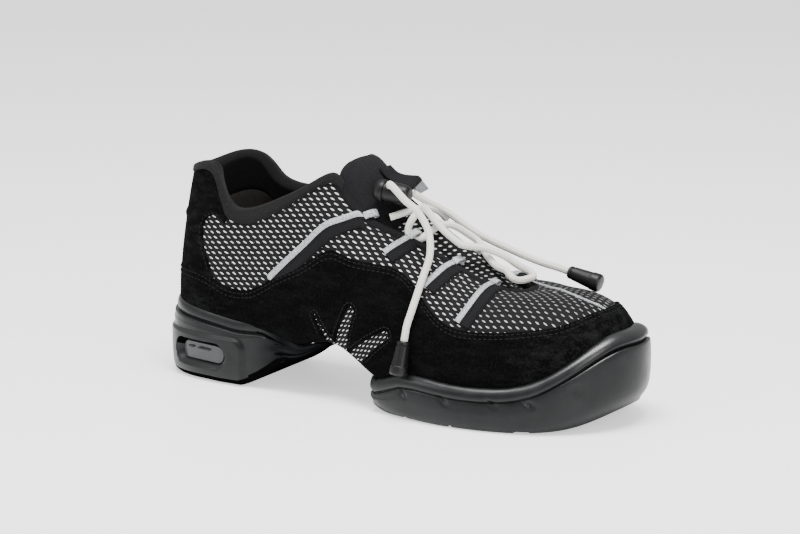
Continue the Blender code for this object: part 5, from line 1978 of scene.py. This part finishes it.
@dataclass
class FootbedMaker:
    """Footbed inside the shoe."""

    skins: Skins
    inset: float = 3.0
    thick: float = 3.3
    end_gap: float = 0.4
    # Height of its raised edge, and the share of its half width over which it rises.
    dish: float = 1.2
    dish_edge: float = 0.35

    def build(self) -> None:
        """Builds the footbed with a slight dish."""
        u = np.linspace(self.end_gap, LAST.half - self.end_gap, 180)
        near = LAST.at(u)[:, 0:3] - LAST.out(u) * self.inset
        far = LAST.at(-u)[:, 0:3] - LAST.out(-u) * self.inset
        share = np.linspace(0, 1, 21)
        rows = near[:, None, :] * (1 - share)[None, :, None] + far[:, None, :] * share[None, :, None]
        edge = 1 - np.abs(2 * share - 1)
        dish = self.dish * (1 - ease(edge, 0.0, self.dish_edge))[None, :]
        rows[..., 2] = LAST.underside(rows[..., 0]) + WALL + self.thick + dish
        draft = Draft()
        draft.grid(rows, facing=UP)
        settle(draft.build("Footbed", (self.skins.footbed,)), RecordSlot.FABRIC, "insole")


# Routes of the lace: the run at the top, the crossing, and the loose ends from the lock; then the far ends
# of the moulded cord ends, and the lock's axis.
LACE_TOP = (
    (134.5, -15.0, 93.0), (141.6, -9.0, 95.6), (147.0, 0.0, 96.8), (150.2, 6.0, 94.2),
    (152.4, 10.6, 89.4),
)
LACE_CROSS = (
    (148.6, -6.0, 98.8), (147.4, -10.0, 96.0), (145.6, -13.6, 91.8), (144.8, -15.0, 87.6),
    (146.0, -14.4, 83.8), (149.2, -12.2, 82.8), (152.6, -9.4, 85.4), (156.2, -5.4, 88.8),
    (160.6, 0.0, 89.2), (167.5, 6.0, 84.0), (171.5, 7.6, 81.0), (173.5, 6.4, 80.2), (181.0, 0.5, 75.6),
    (188.0, -3.0, 72.0), (194.0, -4.2, 70.6), (198.6, -6.4, 68.0), (200.4, -4.2, 66.4),
    (202.6, 3.0, 66.0), (203.4, 7.0, 66.6), (201.0, 7.8, 68.4), (196.4, 4.6, 71.6), (190.5, 1.0, 76.4),
    (182.0, -4.0, 80.4), (175.0, -8.4, 81.6), (172.5, -9.8, 82.2), (165.0, -10.0, 86.4),
    (158.0, -9.2, 91.4), (153.0, -8.8, 96.2), (149.8, -10.0, 99.6),
)
LACE_NEAR = (
    (135.6, -17.2, 109.5), (137.6, -20.2, 110.8), (141.6, -22.4, 109.2), (147.2, -21.8, 103.8),
    (153.0, -20.8, 99.4), (160.0, -21.4, 89.4), (163.0, -25.4, 79.0), (162.4, -31.6, 68.4),
    (161.6, -40.0, 55.0), (160.6, -44.4, 46.0), (160.2, -45.6, 40.2),
)
LACE_FAR = (
    (142.8, -6.0, 104.4), (147.0, 0.6, 99.4), (153.0, 7.4, 94.4), (167.5, 13.4, 83.6),
    (185.0, 18.0, 75.8), (200.0, 20.6, 70.8), (215.0, 22.0, 67.4),
)
END_NEAR = (158.9, -49.6, 23.0)
END_FAR = (233.0, 22.0, 63.0)
LOCK_AXIS = ((124.6, -13.4, 106.2), (143.6, -11.0, 103.8))


@dataclass
class LaceMaker:
    """Round elastic lace with its cord ends and barrel lock."""

    skins: Skins
    radius: float = 1.8
    sides: int = 18
    spacing: float = 0.9
    # Yarns round the braid, and their length along it for one turn, in mm.
    yarns: int = 8
    lay: float = 2.0
    # Straight length of cord before its moulded end, how far it goes in, and where that end starts.
    lead: float = 4.0
    sunk: float = 1.5
    end_start: float = 0.4
    # Flutes round a moulded end, and their share of its radius.
    flutes: int = 8
    flute_depth: float = 0.07
    # Turned outlines: place along the piece, and radius.
    end_profile: Table = (
        (0.0, 2.0), (0.012, 2.8), (0.04, 3.2), (0.1, 3.3), (0.115, 3.0), (0.14, 3.0), (0.155, 3.4),
        (0.6, 4.05), (0.72, 4.25), (0.735, 4.5), (0.9, 4.65), (0.95, 4.5), (0.985, 4.0), (1.0, 3.2),
    )
    lock_profile: Table = (
        (0.0, 1.8), (0.012, 3.0), (0.04, 4.2), (0.09, 5.1), (0.16, 5.6), (0.26, 5.75), (0.3, 5.6),
        (0.315, 5.0), (0.36, 5.0), (0.375, 5.5), (0.5, 5.5), (0.8, 5.3), (0.9, 5.1), (0.95, 4.7),
        (0.985, 3.9), (1.0, 3.0),
    )

    def build(self) -> None:
        """Builds the strands, the cord ends and the lock."""
        self.strand("Lace_top", smooth_route(LACE_TOP, self.spacing), "lace_top")
        self.strand("Lace_cross", smooth_route(LACE_CROSS, self.spacing), "lace_cross")
        lock = self.turned("Cord_lock", *LOCK_AXIS, self.lock_profile, 0)
        settle(lock, RecordSlot.PLASTIC, "cord_lock")
        self.loose_end("near", LACE_NEAR, END_NEAR)
        self.loose_end("far", LACE_FAR, END_FAR)

    def strand(self, name: str, route: Array, node: str) -> Piece:
        """Returns one strand as a braided tube along a route.

        Args:
            name: Name of the strand.
            route: Points along its middle.
            node: Solid that it stands for.

        Returns:
            The piece.
        """
        rings = tube(route, np.full(len(route), self.radius), self.sides)
        draft = Draft()
        add_tube(draft, rings)
        piece = draft.build(name, (self.skins.cord,))
        self.map_braid(piece, route)
        return settle(piece, RecordSlot.CORD, node)

    def map_braid(self, piece: Piece, route: Array) -> None:
        """Gives a strand the map that its braid follows.

        Args:
            piece: The strand.
            route: Points along its middle.
        """
        length = walked(route) / self.lay
        layer = piece.data.uv_layers.new(name=CORD_MAP)
        for face in piece.data.polygons:
            turns = [piece.data.loops[k].vertex_index % self.sides for k in face.loop_indices]
            seam = max(turns) - min(turns) > self.sides // 2
            for k, turn in zip(face.loop_indices, turns):
                place = piece.data.loops[k].vertex_index
                if seam and turn < self.sides // 2:
                    turn += self.sides
                layer.data[k].uv = (length[place // self.sides], turn * self.yarns / self.sides / 2)

    def turned(self, name: str, start: Sequence[float], end: Sequence[float], profile: Sequence,
               flutes: int) -> Piece:
        """Returns a turned piece from start to end, with shallow flutes round its body if asked for.

        Args:
            name: Name of the piece.
            start: Middle of its first end.
            end: Middle of its last end.
            profile: Places along it, with radii.
            flutes: Number of flutes.

        Returns:
            The piece.
        """
        start, end = np.array(start, float), np.array(end, float)
        stops = np.array(profile)
        centres = start + (end - start) * stops[:, 0:1]
        turn = np.linspace(0, 2 * np.pi, 40, endpoint=False)
        radii = []
        for share, radius in profile:
            body = float(ease(share, 0.14, 0.2) * ease(share, 0.72, 0.66)) if flutes else 0.0
            radii.append(radius * (1 - self.flute_depth * body * (0.5 + 0.5 * np.cos(flutes * turn)) ** 3))
        draft = Draft()
        add_tube(draft, tube(centres, radii, len(turn)))
        return draft.build(name, (self.skins.plastic,), 30.0)

    def loose_end(self, side: str, places: Sequence, barrel: Sequence[float]) -> None:
        """Builds one loose strand from the lock to its moulded end.

        Args:
            side: Which strand.
            places: Points along its route.
            barrel: Far end of its moulded end.
        """
        last = np.array(places[-1])
        aim = unit(np.array(barrel) - last)
        route = smooth_route([*places[:-1], last - aim * self.lead, last + aim * self.sunk], self.spacing)
        piece = self.strand(f"Lace_end_{side}", route, f"lace_end_{side}")
        first = last + aim * self.end_start
        end = self.turned(f"Cord_end_{side}", first, barrel, self.end_profile, self.flutes)
        settle(end, RecordSlot.PLASTIC, f"cord_end_{side}")


@dataclass
class Studio:
    """Pale floor, soft light and the camera."""

    look_at: Sizes = (131.5, 0.0, 64.5)
    azimuth: float = math.radians(30.0)
    elevation: float = math.radians(12.69)
    distance: float = 1500.0
    lens: float = 134.3
    sensor: float = 36.0
    floor_size: float = 6000.0
    floor_glow: float = 0.8
    world_glow: float = 0.7

    def build(self) -> None:
        """Builds the room round the shoe."""
        self.floor()
        self.lights()
        self.camera()

    def floor(self) -> None:
        """Pale seamless floor."""
        draft = Draft()
        size = self.floor_size
        corners = [[(-size, -size, 0.0), (size, -size, 0.0)], [(-size, size, 0.0), (size, size, 0.0)]]
        draft.grid(np.array(corners, float), facing=UP)
        white = make_plain("White studio floor", Finish("#f4f4f4", 0.35, 0.4))
        shader = white.node_tree.nodes["Principled BSDF"]
        shader.inputs["Emission Color"].default_value = (1.0, 1.0, 1.0, 1.0)
        shader.inputs["Emission Strength"].default_value = self.floor_glow
        floor = draft.build("Floor", (white,))

    @staticmethod
    def lamp(name: str, place: tuple[float, float, float], size: tuple[float, float], power: float) -> None:
        """Adds a soft box that looks at the shoe.

        Args:
            name: Name of the box.
            place: Its middle in metres.
            size: Its sides in metres.
            power: Its power in watts.
        """
        data = bpy.data.lights.new(name, "AREA")
        data.shape = "RECTANGLE"
        data.size, data.size_y = size
        data.energy = power
        lamp = bpy.data.objects.new(name, data)
        lamp.location = place
        lamp.rotation_euler = (Vector((0.0, 0.0, 0.05)) - Vector(place)).to_track_quat("-Z", "Y").to_euler()
        bpy.context.scene.collection.objects.link(lamp)

    def lights(self) -> None:
        """Bright surroundings, a large box overhead and one to each side."""
        world = bpy.data.worlds.new("Studio")
        world.use_nodes = True
        back = world.node_tree.nodes["Background"]
        back.inputs[0].default_value = (1.0, 1.0, 1.0, 1.0)
        back.inputs[1].default_value = self.world_glow
        bpy.context.scene.world = world
        self.lamp("Overhead box", (0.1, -0.2, 1.3), (0.8, 0.6), 38.0)
        self.lamp("Right box", (1.1, -0.7, 0.6), (0.5, 0.8), 11.0)
        self.lamp("Left box", (-0.9, -1.0, 0.7), (0.4, 0.8), 4.0)

    def camera(self) -> None:
        """Camera at the photo's place and angle."""
        cos, sin = math.cos(self.elevation), math.sin(self.elevation)
        back = np.array((math.sin(self.azimuth) * cos, -math.cos(self.azimuth) * cos, sin))
        target = (np.array(self.look_at) - ORIGIN) * MM
        data = bpy.data.cameras.new("Camera")
        data.sensor_width = self.sensor
        data.sensor_fit = "HORIZONTAL"
        data.lens = self.lens
        data.clip_start = 0.05
        data.clip_end = 100.0
        camera = bpy.data.objects.new("Camera", data)
        camera.location = Vector(target + back * self.distance * MM)
        camera.rotation_euler = Vector(back).to_track_quat("Z", "Y").to_euler()
        bpy.context.scene.collection.objects.link(camera)
        bpy.context.scene.camera = camera


def write_sizes() -> None:
    """Brings the scene up to date."""
    bpy.context.view_layer.update()


def main() -> None:
    """Builds the shoe's looks and the studio."""
    logging.basicConfig(level=logging.INFO, format="%(name)s %(message)s")
    skins = Skins()
    stitches = StitchBook()
    makers: tuple[Callable[[], None], ...] = (
        UpperMaker(skins, stitches).build, BandMaker(skins, stitches).build, TongueMaker(skins).build,
        SoleMaker(skins).build, FootbedMaker(skins).build, LaceMaker(skins).build, Studio().build,
    )
    for make in makers:
        make()
    settle(stitches.draft.build("Stitches", (skins.thread,)), RecordSlot.SUEDE)
    write_sizes()


if __name__ == "__main__":
    main()
